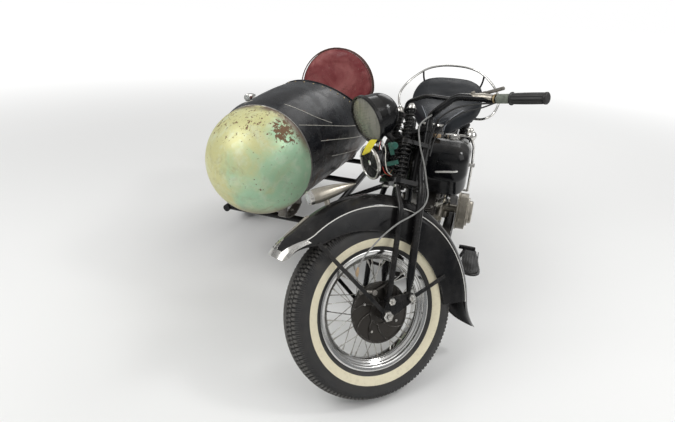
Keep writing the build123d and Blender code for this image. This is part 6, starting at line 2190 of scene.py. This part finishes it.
@dataclass
class FrontEnd:
    """Lamps, horn, wires, tag, grips, lever, cables and brake plate that turn with the steering."""

    yard: Yard
    finishes: Finishes
    lamp: Point = (1322.0, 0.0, 1004.0)
    lamp_tilt_deg: float = 10.0
    horn: Point = (1348.0, -28.0, 849.0)
    bar_end: Point = (970.0, 460.0, 923.0)
    bar_elbow: Point = (1015.0, 283.0, 963.0)

    def aim(self, point: Point, direction: Point) -> Matrix:
        """A parked frame at a drawing point whose Z axis points along a drawing direction."""
        return self.yard.steer @ facing(self.yard.at(point), Vector(direction).normalized())

    def finish_piece(self, form: Form, name: str, finish: bpy.types.Material,
                     sharp: float = 35.0) -> bpy.types.Object:
        """Turns a form into a piece on the steering body.

        Args:
            form: The mesh.
            name: The piece's name.
            finish: Its material.
            sharp: Edges above this angle stay crisp.

        Returns:
            The piece.
        """
        piece = form.make(name, finish, Body.STEERING, sharp)
        return piece

    def headlamp(self) -> None:
        """Makes the headlamp's rim, fluted lens, clamp screw and bulb cap."""
        tilt = math.radians(self.lamp_tilt_deg)
        at = self.aim(self.lamp, (math.cos(tilt), 0.0, -math.sin(tilt)))
        rim = Form()
        rim.lathe([(83.0, 6.0), (83.4, 12.4), (86.0, 14.6), (88.8, 14.0), (90.4, 10.0), (90.8, 4.0),
                   (90.0, -1.0), (87.6, -2.6), (87.2, 0.0)], at, 112, True)
        self.finish_piece(rim, "headlamp_rim", self.finishes.black, 50.0)
        lens = Form()
        rings = []
        for k in range(33):
            r = 82.6 * (1 - k / 32) + 0.01
            ring = []
            for step in range(144):
                a = 2 * math.pi * step / 144
                x, y = r * math.cos(a), r * math.sin(a)
                height = 9.0 + 13.0 * (1 - (r / 82.7) ** 2)
                flute = 0.55 * math.cos(y * 0.62) if abs(y) < 62 else 0.2 * math.cos(x * 0.8)
                height += flute * min(1.0, (82.6 - r) / 6)
                ring.append(at @ (Vector((x, y, height)) / 1000))
            rings.append(ring)
        rings.insert(0,
                     [at @ (Vector((82.6 * math.cos(2 * math.pi * k / 144),
                                    82.6 * math.sin(2 * math.pi * k / 144), 2.5)) / 1000)
                         for k in range(144)])
        lens.loft(rings)
        piece = self.finish_piece(lens, "headlamp_fluted_lens", self.finishes.lens, 60.0)
        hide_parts("headlamp_lens")
        small = Form()
        below = Matrix.Translation(Vector((0.0, -0.0925, 0.004))) @ Matrix.Rotation(math.pi / 2, 4, "X")
        small.nut(at @ below, 11.0, 6.0)
        small.lathe([(7.0, 0.0), (7.0, 6.0), (4.0, 9.0), (0.01, 9.6)], at, 12)
        self.finish_piece(small, "headlamp_screw", self.finishes.tired_bright)

    def horn_face(self) -> None:
        """Makes the horn's ring, ribbed face and centre nut, and its blank tag."""
        at = self.aim(self.horn, (1.0, 0.0, 0.0))
        ring = Form()
        ring.lathe([(55.4, -5.2), (56.0, -1.0), (58.4, 1.8), (61.6, 2.4), (64.6, 0.6), (65.6, -3.0),
                    (65.4, -9.0), (60.0, -10.4)],
                   at, 88, True)
        self.finish_piece(ring, "horn_ring", self.finishes.tired_bright, 50.0)
        face = Form()
        ribs = []
        for k in range(7):
            r = 52.0 - 6.6 * k
            ribs += [(r, -5.0), (r - 1.6, -2.6), (r - 3.4, -2.6), (r - 5.0, -5.0)]
        face.lathe([(55.6, -5.0), *ribs, (5.0, -5.0), (0.01, -4.8)], at, 72)
        for k in range(8):
            a = math.pi * k / 4
            p = [at @ (Vector((r * math.cos(a), r * math.sin(a), -2.4)) / 1000) for r in (9.0, 53.0)]
            face.tube(p, 1.5, 6)
        self.finish_piece(face, "horn_face", self.finishes.engine_black)
        nut = Form()
        nut.lathe([(10.0, -5.0), (10.0, -1.6), (6.0, 0.2), (0.01, 0.8)], at, 24)
        for k in range(6):
            a = math.pi * (k + 0.5) / 3
            nut.nut(at @ Matrix.Translation(Vector((0.0598 * math.cos(a), 0.0598 * math.sin(a), 0.0014))),
                    7.0, 2.6)
        self.finish_piece(nut, "horn_screws", self.finishes.tired_bright)
        tag = Form()
        rows = [[(1395, 96, 930), (1397, 120, 934), (1392, 148, 929), (1390, 120, 923)],
                [(1397, 66, 914), (1402, 92, 919), (1396, 118, 909), (1392, 88, 905)],
                [(1394, 38, 900), (1396, 58, 901), (1392, 78, 893), (1389, 56, 891)],
                [(1393, 18, 888), (1394, 25, 889), (1392, 33, 887), (1390, 25, 885)]]
        tag.loft([[self.yard.turned(p) for p in row] for row in rows], caps=True)
        self.finish_piece(tag, "blank_tag", self.finishes.yellow, 60.0)

    def wires(self) -> None:
        """Makes the loose wires and the painted bracket round the horn."""
        draw = random.Random(14)
        forms = {name: Form() for name in ("red", "white", "orange", "green", "black")}
        for index, name in enumerate(("red", "white", "orange", "green", "black", "red", "black", "white")):
            y0 = -46.0 + 13.0 * index
            points = [(1300, y0 * 0.5, 918), (1306 + draw.uniform(-8, 10), y0 * 0.7, 884),
                      (1322 + draw.uniform(-12, 14), y0, 846 + draw.uniform(-8, 8)),
                      (1316 + draw.uniform(-10, 10), y0 + draw.uniform(-14, 14), 806),
                      (1290, y0 * 0.6, 786 + draw.uniform(-6, 6)), (1272, y0 * 0.4, 800)]
            forms[name].tube(smooth_path([self.yard.turned(p) for p in points], 8), 1.7, 8)
        for name, form in forms.items():
            self.finish_piece(form, f"{name}_wires", self.finishes.wires[name])
        bracket = Form()
        bracket.block(self.aim((1318.0, 84.0, 834.0), (0.9, 0.43, 0.0)), (48.0, 15.0, 5.0), 1.2)
        bracket.block(self.aim((1314.0, 92.0, 884.0), (0.9, 0.43, 0.0)), (16.0, 44.0, 5.0), 1.2)
        bracket.lathe([(0.01, -9.0), (11.0, -9.0), (13.0, -6.0), (13.0, 6.0), (10.0, 9.0), (0.01, 9.0)],
                      self.aim((1316.0, 118.0, 893.0), (0.4, 1.0, 0.0)), 24)
        self.finish_piece(bracket, "painted_bracket", self.finishes.green_paint)

    def bar_frame(self, side: Side, back: float) -> Matrix:
        """A frame on the bar, a distance back from its end, pointing out along the grip."""
        end = Vector(self.bar_end)
        along = (end - Vector(self.bar_elbow)).normalized()
        spot = end - along * back
        return self.aim((spot.x, side.value * spot.y, spot.z), (along.x, side.value * along.y, along.z))

    def grips(self) -> None:
        """Makes the fluted grips and the ringed sleeves."""
        rubber = Form()
        sleeve = Form()
        clamps = Form()
        for side in Side:
            at = self.bar_frame(side, 114.0)
            rings = []
            stations = [(0.0, 13.4, 0), (0.0, 20.8, 0), (3.6, 21.2, 0), (5.4, 18.2, 0), (7.0, 16.8, 1)]
            stations += [(7.0 + 6.0 * k, 16.9 + 0.6 * math.sin(math.pi * k / 17), 1) for k in range(1, 17)]
            stations += [(105.0, 17.0, 1), (107.0, 17.6, 0), (110.0, 18.9, 0), (115.0, 18.7, 0),
                         (117.6, 16.0, 0), (118.0, 11.0, 0)]
            for z, r, fluted in stations:
                ring = []
                for step in range(120):
                    a = 2 * math.pi * step / 120
                    rr = r + (0.95 * math.copysign(abs(math.cos(a * 10)) ** 0.5,
                                                   math.cos(a * 10)) if fluted else 0.0)
                    ring.append(at @ (Vector((rr * math.cos(a), rr * math.sin(a), z)) / 1000))
                rings.append(ring)
            rubber.loft(rings, caps=True)
            ribs = [(13.0, -48.0)]
            for k in range(8):
                z = -47.0 + 5.4 * k
                ribs += [(13.8, z), (15.6, z + 1.0), (15.6, z + 3.0), (13.8, z + 4.2)]
            ribs += [(15.2, -3.4), (15.2, -0.2), (13.0, -0.1)]
            sleeve.lathe(ribs, at, 40, True)
            clamps.lathe([(12.9, -58.4), (15.6, -58.0), (15.6, -52.0), (12.9, -51.6)], at, 36, True)
        piece = self.finish_piece(rubber, "fluted_grips", self.finishes.grip, 60.0)
        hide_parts("grips")
        self.finish_piece(sleeve, "ringed_sleeves", self.finishes.sleeve)
        self.finish_piece(clamps, "bar_clamps", self.finishes.brass, 40.0)

    def levers(self) -> None:
        """Makes the left hand lever: its long clamp, its pin and its raised flat blade."""
        metal = Form()
        run = [(1036.0, 213.0, 986.0), (1030.0, 232.0, 981.0), (1020.0, 262.0, 973.0),
               (1013.0, 292.0, 962.0)]
        metal.taper([self.yard.turned(p) for p in run], [12.6, 13.8, 13.6, 12.8], 20)
        run = [(1046.0, 190.0, 992.0), (1040.0, 202.0, 989.0), (1036.0, 213.0, 986.0)]
        metal.taper([self.yard.turned(p) for p in run], [9.0, 13.0, 12.0], 16)
        metal.nut(self.aim((1030.0, 226.0, 994.0), (0.2, 0.0, 1.0)), 15.0, 8.0)
        self.finish_piece(metal, "lever_clamp", self.finishes.nickel, 40.0)
        blade = Form()
        blade.block(self.aim((1010.0, 236.0, 986.0), (-0.14, 1.0, 0.0)), (14.0, 14.0, 50.0), 3.0)
        blade.block(self.aim((998.0, 292.0, 985.5), (-0.14, 1.0, 0.0)), (12.0, 12.0, 74.0), 3.0)
        piece = self.finish_piece(blade, "lever_blade", self.finishes.steel, 40.0)
        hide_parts("hand_levers")

    def cables(self) -> None:
        """Makes the control cables, the brake cable and its boot."""
        black = Form()
        for side in Side:
            s = side.value
            points = [(1013, s * 292, 947), (1040, s * 236, 958), (1072, s * 172, 962),
                      (1104, s * 112, 940), (1122, s * 84, 900), (1150, s * 78, 850), (1186, s * 74, 790),
                      (1222, s * 62, 748)]
            black.tube(smooth_path([self.yard.turned(p) for p in points], 10), 3.2, 10)
            points = [(1006, s * 322, 950), (1036, s * 262, 942), (1070, s * 190, 940),
                      (1100, s * 124, 912), (1128, s * 92, 872), (1158, s * 84, 818)]
            black.tube(smooth_path([self.yard.turned(p) for p in points], 10), 2.6, 10)
        self.finish_piece(black, "control_cables", self.finishes.wires["black"])
        ribbed = Form()
        for side in Side:
            base = Vector((1104.0, side.value * 112.0, 940.0))
            run = Vector((18.0, -side.value * 28.0, -40.0))
            at = self.aim(tuple(base), tuple(run))
            profile = [(3.4, -2.0)]
            for k in range(9):
                profile += [(5.4, 3.4 * k), (6.2, 3.4 * k + 1.0), (5.4, 3.4 * k + 2.2),
                            (4.6, 3.4 * k + 2.8)]
            ribbed.lathe(profile + [(3.4, 32.0)], at, 20, True)
        self.finish_piece(ribbed, "ribbed_boots", self.finishes.grip)
        brake = Form()
        points = [(1110, 84, 960), (1176, 92, 936), (1198, 98, 872), (1200, 99, 800), (1208, 100, 730),
                  (1219, 104, 684), (1252, 112, 654), (1310, 118, 640), (1370, 120, 632), (1430, 120, 614),
                  (1479, 119, 592), (1528, 112, 560), (1556, 103, 528)]
        brake.tube(smooth_path([self.yard.turned(p) for p in points], 10), 2.9, 12)
        points = [(1563, 96, 506), (1564, 86, 478), (1561, 79, 452), (1559, 76, 438)]
        brake.tube(smooth_path([self.yard.turned(p) for p in points], 6), 1.6, 10)
        self.finish_piece(brake, "brake_cable", self.finishes.wires["grey"])
        boot = Form()
        boot.taper([self.yard.turned(p) for p in ((1554, 104, 532), (1558, 101, 522), (1562, 97, 510),
                                                  (1564, 95, 500))],
                   [3.4, 5.2, 6.0, 3.0], 16)
        self.finish_piece(boot, "brake_cable_boot", self.finishes.wires["tan"])
        lever = Form()
        lever.taper([self.yard.turned(p) for p in ((1506, 72, 414), (1530, 74, 426), (1562, 75, 434))],
                    [8.0, 6.0, 5.0], 12)
        lever.nut(self.aim((1508.0, 76.0, 415.0), (0.0, 1.0, 0.0)), 22.0, 8.0)
        lever.nut(self.aim((1560.0, 78.0, 434.0), (0.0, 1.0, 0.0)), 13.0, 6.0)
        self.finish_piece(lever, "brake_plate_lever", self.finishes.steel)

    def fender_lamp(self) -> None:
        """Makes the glass and rim of the lamp on the front fender."""
        z = TYRE_RADIUS - self.yard.drop + FENDER_CROWN + 36.0
        at = self.aim((1562.0 + 62.0, 0.0, z), (1.0, 0.0, 0.0))
        rim = Form()
        rim.lathe([(20.0, 1.0), (21.5, 2.4), (24.6, 1.0), (25.2, -3.0), (26.4, -12.0), (24.4, -12.4),
                   (23.6, -2.0)], at, 48, True)
        self.finish_piece(rim, "fender_lamp_rim", self.finishes.bright, 50.0)
        glass = Form()
        glass.lathe([(20.6, 0.2), (19.0, 2.6), (14.0, 4.8), (7.0, 6.2), (0.01, 6.6)], at, 40)
        self.finish_piece(glass, "fender_lamp_glass", self.finishes.small_glass)

    def brake_plate(self) -> None:
        """Makes the brake plate's curved ribs, rim and bolts."""
        z = TYRE_RADIUS - self.yard.drop
        at = self.aim((WHEELBASE, 66.0, z), (0.0, 1.0, 0.0))
        ribs = Form()
        ribs.lathe([(105.0, -1.0), (105.6, 2.2), (109.6, 2.6), (111.8, 0.6), (111.8, -2.0)], at, 96, True)
        ribs.lathe([(38.0, -0.5), (39.0, 3.4), (43.0, 3.4), (44.0, -0.5)], at, 64, True)
        for k in range(9):
            a = 2 * math.pi * k / 9
            path = []
            for step in range(9):
                r = 43.0 + 63.0 * step / 8
                turn = a + 0.55 * step / 8
                path.append(at @ (Vector((r * math.cos(turn), r * math.sin(turn), 1.0)) / 1000))
            ribs.tube(path, 2.6, 8)
        self.finish_piece(ribs, "brake_plate_ribs", self.finishes.plate, 45.0)
        bolts = Form()
        for k in range(4):
            a = math.radians(45 + 90 * k)
            bolts.nut(at @ Matrix.Translation(Vector((0.074 * math.cos(a), 0.074 * math.sin(a), -0.001))),
                      11.0, 6.0)
        self.finish_piece(bolts, "brake_plate_bolts", self.finishes.tired_bright)

    def build(self) -> None:
        """Makes everything that turns with the bars besides fork and fender."""
        self.headlamp()
        self.horn_face()
        self.wires()
        self.grips()
        self.levers()
        self.cables()
        self.fender_lamp()
        self.brake_plate()
        log.info("front end: lamp, horn, wires, grips, cables and brake plate")


@dataclass
class FootTrim:
    """Rubber mats on the footboards and pedals, lamp glasses at the back and on the sidecar."""

    yard: Yard
    finishes: Finishes

    def build(self) -> None:
        """Makes the mats and the small glasses."""
        mats = Form()
        for side in Side:
            s = side.value
            outline = [(744, 236), (916, 236), (940, 246), (956, 262), (958, 280), (946, 300), (922, 314),
                       (900, 314), (750, 291), (730, 280), (724, 262), (730, 244)]
            rings = []
            for z, k in ((242.9, 1.0), (245.6, 1.0), (246.4, 0.985)):
                rings.append([
                    self.yard.at(((x - 840) * k + 840, s * ((y - 270) * k + 270), z)) for x, y in outline
                ])
            mats.loft(rings, caps=True)
            for row in range(6):
                y = 244.0 + 12.0 * row
                reach = (738.0 + 1.2 * row, 946.0 - 2.0 * abs(row - 2))
                mats.block(Matrix.Translation(self.yard.at(((reach[0] + reach[1]) / 2, s * y, 247.4))),
                           (reach[1] - reach[0], 5.0, 3.4), 1.0)
            place = Matrix.Translation(self.yard.at((824.0, s * 246.0, 302.0)))
            tilt = place @ Matrix.Rotation(math.radians(-18), 4, "Y")
            for row in range(4):
                mats.block(tilt @ Matrix.Translation(Vector((-0.0105 + 0.007 * row, 0, 0.0078))),
                           (4.2, 74.0, 3.0), 0.8)
        piece = mats.make("foot_mats", self.finishes.grip, Body.CHASSIS)
        red = Form()
        clear = Form()
        rims = Form()
        angle = math.radians(146)
        out = Vector((math.cos(angle), 0, math.sin(angle)))
        back = Vector((-1, 0, 0.12)).normalized()
        middle = Vector((0, 0, TYRE_RADIUS)) + out * (402.3 + 62.0) + back * 30.0
        at = facing(self.yard.at(middle), back)
        red.lathe([(27.0, -1.0), (27.0, 2.0), (22.0, 6.6), (12.0, 9.6), (0.01, 10.6)], at, 40)
        rims.lathe([(27.0, -2.0), (27.2, 3.4), (30.0, 4.4), (31.6, 2.0), (31.6, -6.0), (30.0, -6.0)], at,
                   48, True)
        front = facing(self.yard.at((254.0 + 40.0, SIDECAR_WHEEL[1], TYRE_RADIUS + 448.0)),
                       Vector((1, 0, 0)))
        clear.lathe([(18.6, -0.6), (18.0, 1.8), (13.0, 4.4), (6.0, 5.6), (0.01, 6.0)], front, 32)
        rims.lathe([(18.4, -0.5), (19.4, 2.6), (21.6, 1.6), (22.0, -5.0), (20.0, -5.4)], front, 40, True)
        for form, name, finish, slot in (
            (red, "tail_lamp_glass", self.finishes.red_glass, "lamp_glass"),
            (clear, "sidecar_lamp_glass", self.finishes.small_glass, "lamp_glass"),
            (rims, "small_lamp_rims", self.finishes.bright, "bright_plate"),
        ):
            piece = form.make(name, finish, Body.CHASSIS, 45.0)
        log.info("foot mats and small lamps")


@dataclass
class ChassisTrim:
    """Bolts and nuts of the two frames and the bands of the leaf springs."""

    yard: Yard
    finishes: Finishes
    spring_clips: tuple = ((900.0, -850.0), (900.0, -650.0), (-150.0, -850.0), (-150.0, -650.0))
    clip_half: float = 28.0

    def build(self) -> None:
        """Makes the bolts and the spring bands."""
        bolts = Form()
        left, right, up = Vector((0, 1, 0)), Vector((0, -1, 0)), Vector((0, 0, 1))
        for x, y, z, way, across, height in (
            (0.0, 117.0, TYRE_RADIUS, left, 32.0, 12.0), (0.0, -117.0, TYRE_RADIUS, right, 32.0, 12.0),
            (30.0, 104.0, 352.0, left, 12.0, 7.0), (30.0, 104.0, 322.0, left, 12.0, 7.0),
            (30.0, -104.0, 352.0, right, 12.0, 7.0), (30.0, -104.0, 322.0, right, 12.0, 7.0),
            (250.0, -1271.5, TYRE_RADIUS, right, 34.0, 12.0), (742.0, 206.0, 690.0, left, 20.0, 6.0),
            (399.0, -140.0, 300.0, right, 22.0, 7.0),
        ):
            bolts.nut(facing(self.yard.at((x, y, z)), way), across, height)
        for x, y in self.spring_clips:
            for dx in (-self.clip_half, self.clip_half):
                bolts.nut(facing(self.yard.at((x + dx, y, 352.0)), up), 13.0, 9.0)
        piece = bolts.make("frame_bolts", self.finishes.tired_bright, Body.CHASSIS)
        bands = Form()
        for x, y in self.spring_clips:
            for dx in (-self.clip_half, self.clip_half):
                z = 342.0 + (dx / 100.0) ** 2 * 34.0
                bands.block(Matrix.Translation(self.yard.at((x + dx, y, z + 4.5))), (9.0, 50.0, 14.0), 2.0)
        piece = bands.make("leaf_spring_bands", self.finishes.steel, Body.CHASSIS)
        log.info("frames: bolts and spring bands")


DRESSING = {
    "main_frame": "black", "engine_cases": "alloy", "cylinders": "iron", "primary_cover": "engine_black",
    "carburettor": "nickel", "air_cleaner": "nickel", "exhaust": "pipe", "fuel_tanks": "black",
    "tank_caps": "bright", "dash_panel": "black", "shift_lever": "tired_bright", "saddle": "saddle",
    "saddle_frame": "fork_black", "grab_rail": "bright", "battery_box": "engine_black",
    "rear_fender": "black", "tail_lamp": "black", "footboards": "fork_black", "drive_chain": "chain",
    "rigid_fork": "fork_black", "spring_fork": "fork_black", "fork_springs": "fork_black",
    "fork_rockers": "fork_black", "front_fender": "black", "fender_tip": "bright",
    "fender_braces": "fork_black", "fender_lamp": "nickel", "handlebar": "fork_black", "grips": "grip",
    "hand_levers": "steel", "headlamp_shell": "black", "headlamp_lens": "lens", "horn": "fork_black",
    "brake_plate": "plate", "sidecar_chassis": "black", "sidecar_body": "body", "sidecar_springs": "steel",
    "sidecar_nose": "patina", "sidecar_seat_frame": "body", "sidecar_backrest": "maroon",
    "sidecar_cushion": "maroon", "sidecar_fender": "black", "sidecar_lamp": "bright", "front_tyre": "tyre",
    "rear_tyre": "tyre", "sidecar_tyre": "tyre", "front_rim": "rim", "rear_rim": "rim",
    "sidecar_rim": "rim", "front_hub": "steel", "rear_hub": "steel", "sidecar_hub": "steel",
}


def dress_nodes(finishes: Finishes) -> None:
    """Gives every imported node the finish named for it."""
    for name, node in frame["nodes"].items():
        finish = getattr(finishes, DRESSING[name])
        if not node.material_slots:
            node.data.materials.append(finish)
        for slot in node.material_slots:
            slot.material = finish
    log.info("packed nodes dressed: %d", len(frame["nodes"]))


@dataclass
class Studio:
    """The pale floor, the soft lamps, the sky and the camera."""

    eye: Point = (2.2470, 0.6693, 1.3268)
    yaw_deg: float = -162.280
    down_deg: float = 24.766
    roll_deg: float = 2.707
    lens_mm: float = 23.497
    plain_floor: float = 1.6
    white_floor: float = 9.0
    floor_glow: float = 0.62
    floor_half: float = 70.0
    lamps: tuple = (
        ("key lamp", (2.6, -2.2, 3.6), (0.1, 0.0, 0.5), 2.6, 84.0),
        ("side lamp", (1.6, 3.6, 2.6), (0.2, 0.1, 0.5), 2.4, 34.0),
        ("glint lamp", (0.4, 2.6, 3.2), (0.2, 0.1, 0.6), 0.6, 26.0),
        ("back lamp", (-3.4, 0.6, 3.4), (-0.2, 0.0, 0.5), 2.4, 46.0),
    )

    def floor(self) -> None:
        """Makes the pale floor."""
        far = self.floor_half
        corners = [(-far, -far, 0.0), (far, -far, 0.0), (far, far, 0.0), (-far, far, 0.0)]
        mesh = bpy.data.meshes.new("studio_floor")
        mesh.from_pydata(corners, [], [(0, 1, 2, 3)])
        material = bpy.data.materials.new("studio floor")
        material.use_nodes = True
        shader = material.node_tree.nodes["Principled BSDF"]
        shader.inputs["Base Color"].default_value = (0.84, 0.84, 0.83, 1.0)
        shader.inputs["Roughness"].default_value = 0.85
        shader.inputs["Specular IOR Level"].default_value = 0.2
        wires = Wiring(material.node_tree)
        away = wires.node("ShaderNodeVectorMath", operation="LENGTH")
        wires.put(away.inputs[0], wires.node("ShaderNodeNewGeometry").outputs["Position"])
        whiter = wires.step(away.outputs["Value"], self.plain_floor, self.white_floor)
        seen = wires.node("ShaderNodeLightPath").outputs["Is Camera Ray"]
        shader.inputs["Emission Color"].default_value = (1.0, 1.0, 1.0, 1.0)
        glow = wires.math("MULTIPLY", seen, self.floor_glow)
        wires.put(shader.inputs["Emission Strength"], wires.math("MULTIPLY", whiter, glow))
        mesh.materials.append(material)
        piece = bpy.data.objects.new("studio_floor", mesh)
        bpy.context.scene.collection.objects.link(piece)

    def sky(self) -> None:
        """Makes the pale sky, plain white where it is seen."""
        world = bpy.data.worlds.new("studio sky")
        bpy.context.scene.world = world
        world.use_nodes = True
        wires = Wiring(world.node_tree)
        world.node_tree.nodes.clear()
        rays = wires.node("ShaderNodeLightPath")
        seen = wires.math("MAXIMUM", rays.outputs["Is Camera Ray"], rays.outputs["Is Transmission Ray"])
        place = wires.node("ShaderNodeTexCoord").outputs["Generated"]
        parts = wires.node("ShaderNodeSeparateXYZ")
        wires.put(parts.inputs[0], place)
        high = wires.step(parts.outputs["Z"], -0.05, 0.75)
        shade = wires.mix(high, (0.42, 0.43, 0.44), (1.0, 1.0, 1.0))
        soft = wires.node("ShaderNodeBackground")
        wires.put(soft.inputs["Color"], shade)
        soft.inputs["Strength"].default_value = 0.6
        white = wires.node("ShaderNodeBackground")
        white.inputs["Color"].default_value = (1, 1, 1, 1)
        join = wires.node("ShaderNodeMixShader")
        wires.put(join.inputs[0], seen)
        world.node_tree.links.new(soft.outputs[0], join.inputs[1])
        world.node_tree.links.new(white.outputs[0], join.inputs[2])
        out = wires.node("ShaderNodeOutputWorld")
        world.node_tree.links.new(join.outputs[0], out.inputs["Surface"])

    def lamp(self, name: str, place: Point, goal: Point, size: float, power: float) -> None:
        """Adds one soft square lamp aimed at a point."""
        light = bpy.data.lights.new(name, "AREA")
        light.shape = "SQUARE"
        light.size = size
        light.energy = power
        lamp = bpy.data.objects.new(name, light)
        lamp.location = place
        lamp.rotation_euler = (Vector(goal) - Vector(place)).to_track_quat("-Z", "Y").to_euler()
        bpy.context.scene.collection.objects.link(lamp)

    def camera(self) -> None:
        """Sets the camera at the photograph's place."""
        yaw, down, roll = (math.radians(a) for a in (self.yaw_deg, self.down_deg, self.roll_deg))
        ahead = Vector((math.cos(yaw) * math.cos(down), math.sin(yaw) * math.cos(down), -math.sin(down)))
        right = Vector((math.sin(yaw), -math.cos(yaw), 0.0))
        up = right.cross(ahead)
        right_rolled = right * math.cos(roll) + up * math.sin(roll)
        up_rolled = up * math.cos(roll) - right * math.sin(roll)
        data = bpy.data.cameras.new("camera")
        data.sensor_fit = "HORIZONTAL"
        data.sensor_width = 36.0
        data.lens = self.lens_mm
        data.clip_end = 200.0
        eye = bpy.data.objects.new("camera", data)
        turn = Matrix((right_rolled, up_rolled, -ahead)).transposed()
        eye.matrix_world = Matrix.Translation(Vector(self.eye)) @ turn.to_4x4()
        bpy.context.scene.collection.objects.link(eye)
        bpy.context.scene.camera = eye

    def build(self) -> None:
        """Sets up the studio."""
        self.floor()
        self.sky()
        for row in self.lamps:
            self.lamp(*row)
        self.camera()
        bpy.context.scene.view_settings.view_transform = "Standard"
        log.info("studio ready")


def main() -> None:
    """Builds and dresses the whole outfit."""
    logging.basicConfig(level=logging.INFO, format="%(message)s")
    Studio().build()
    yard = Yard()
    finishes = Finishes()
    dress_nodes(finishes)
    level = Matrix.Rotation(-math.pi / 2, 4, "X")
    front = yard.steer @ Matrix.Translation(yard.at((WHEELBASE, 0.0, TYRE_RADIUS - yard.drop))) @ level
    rear = Matrix.Translation(yard.at((0.0, 0.0, TYRE_RADIUS))) @ level
    side = Matrix.Translation(yard.at(SIDECAR_WHEEL)) @ level
    RoadWheel("front", Body.FRONT_WHEEL, front).build(finishes)
    RoadWheel("rear", Body.REAR_WHEEL, rear, sprocket=True).build(finishes)
    RoadWheel("sidecar", Body.SIDECAR_WHEEL, side).build(finishes)
    for assembly in (SpringFork, FrontFender, FrontEnd, TankTrim, GrabRail, Engine, DriveChain, FootTrim,
                     ChassisTrim, SidecarTrim, SidecarSeat, Saddle):
        assembly(yard, finishes).build()


if __name__ == "__main__":
    main()
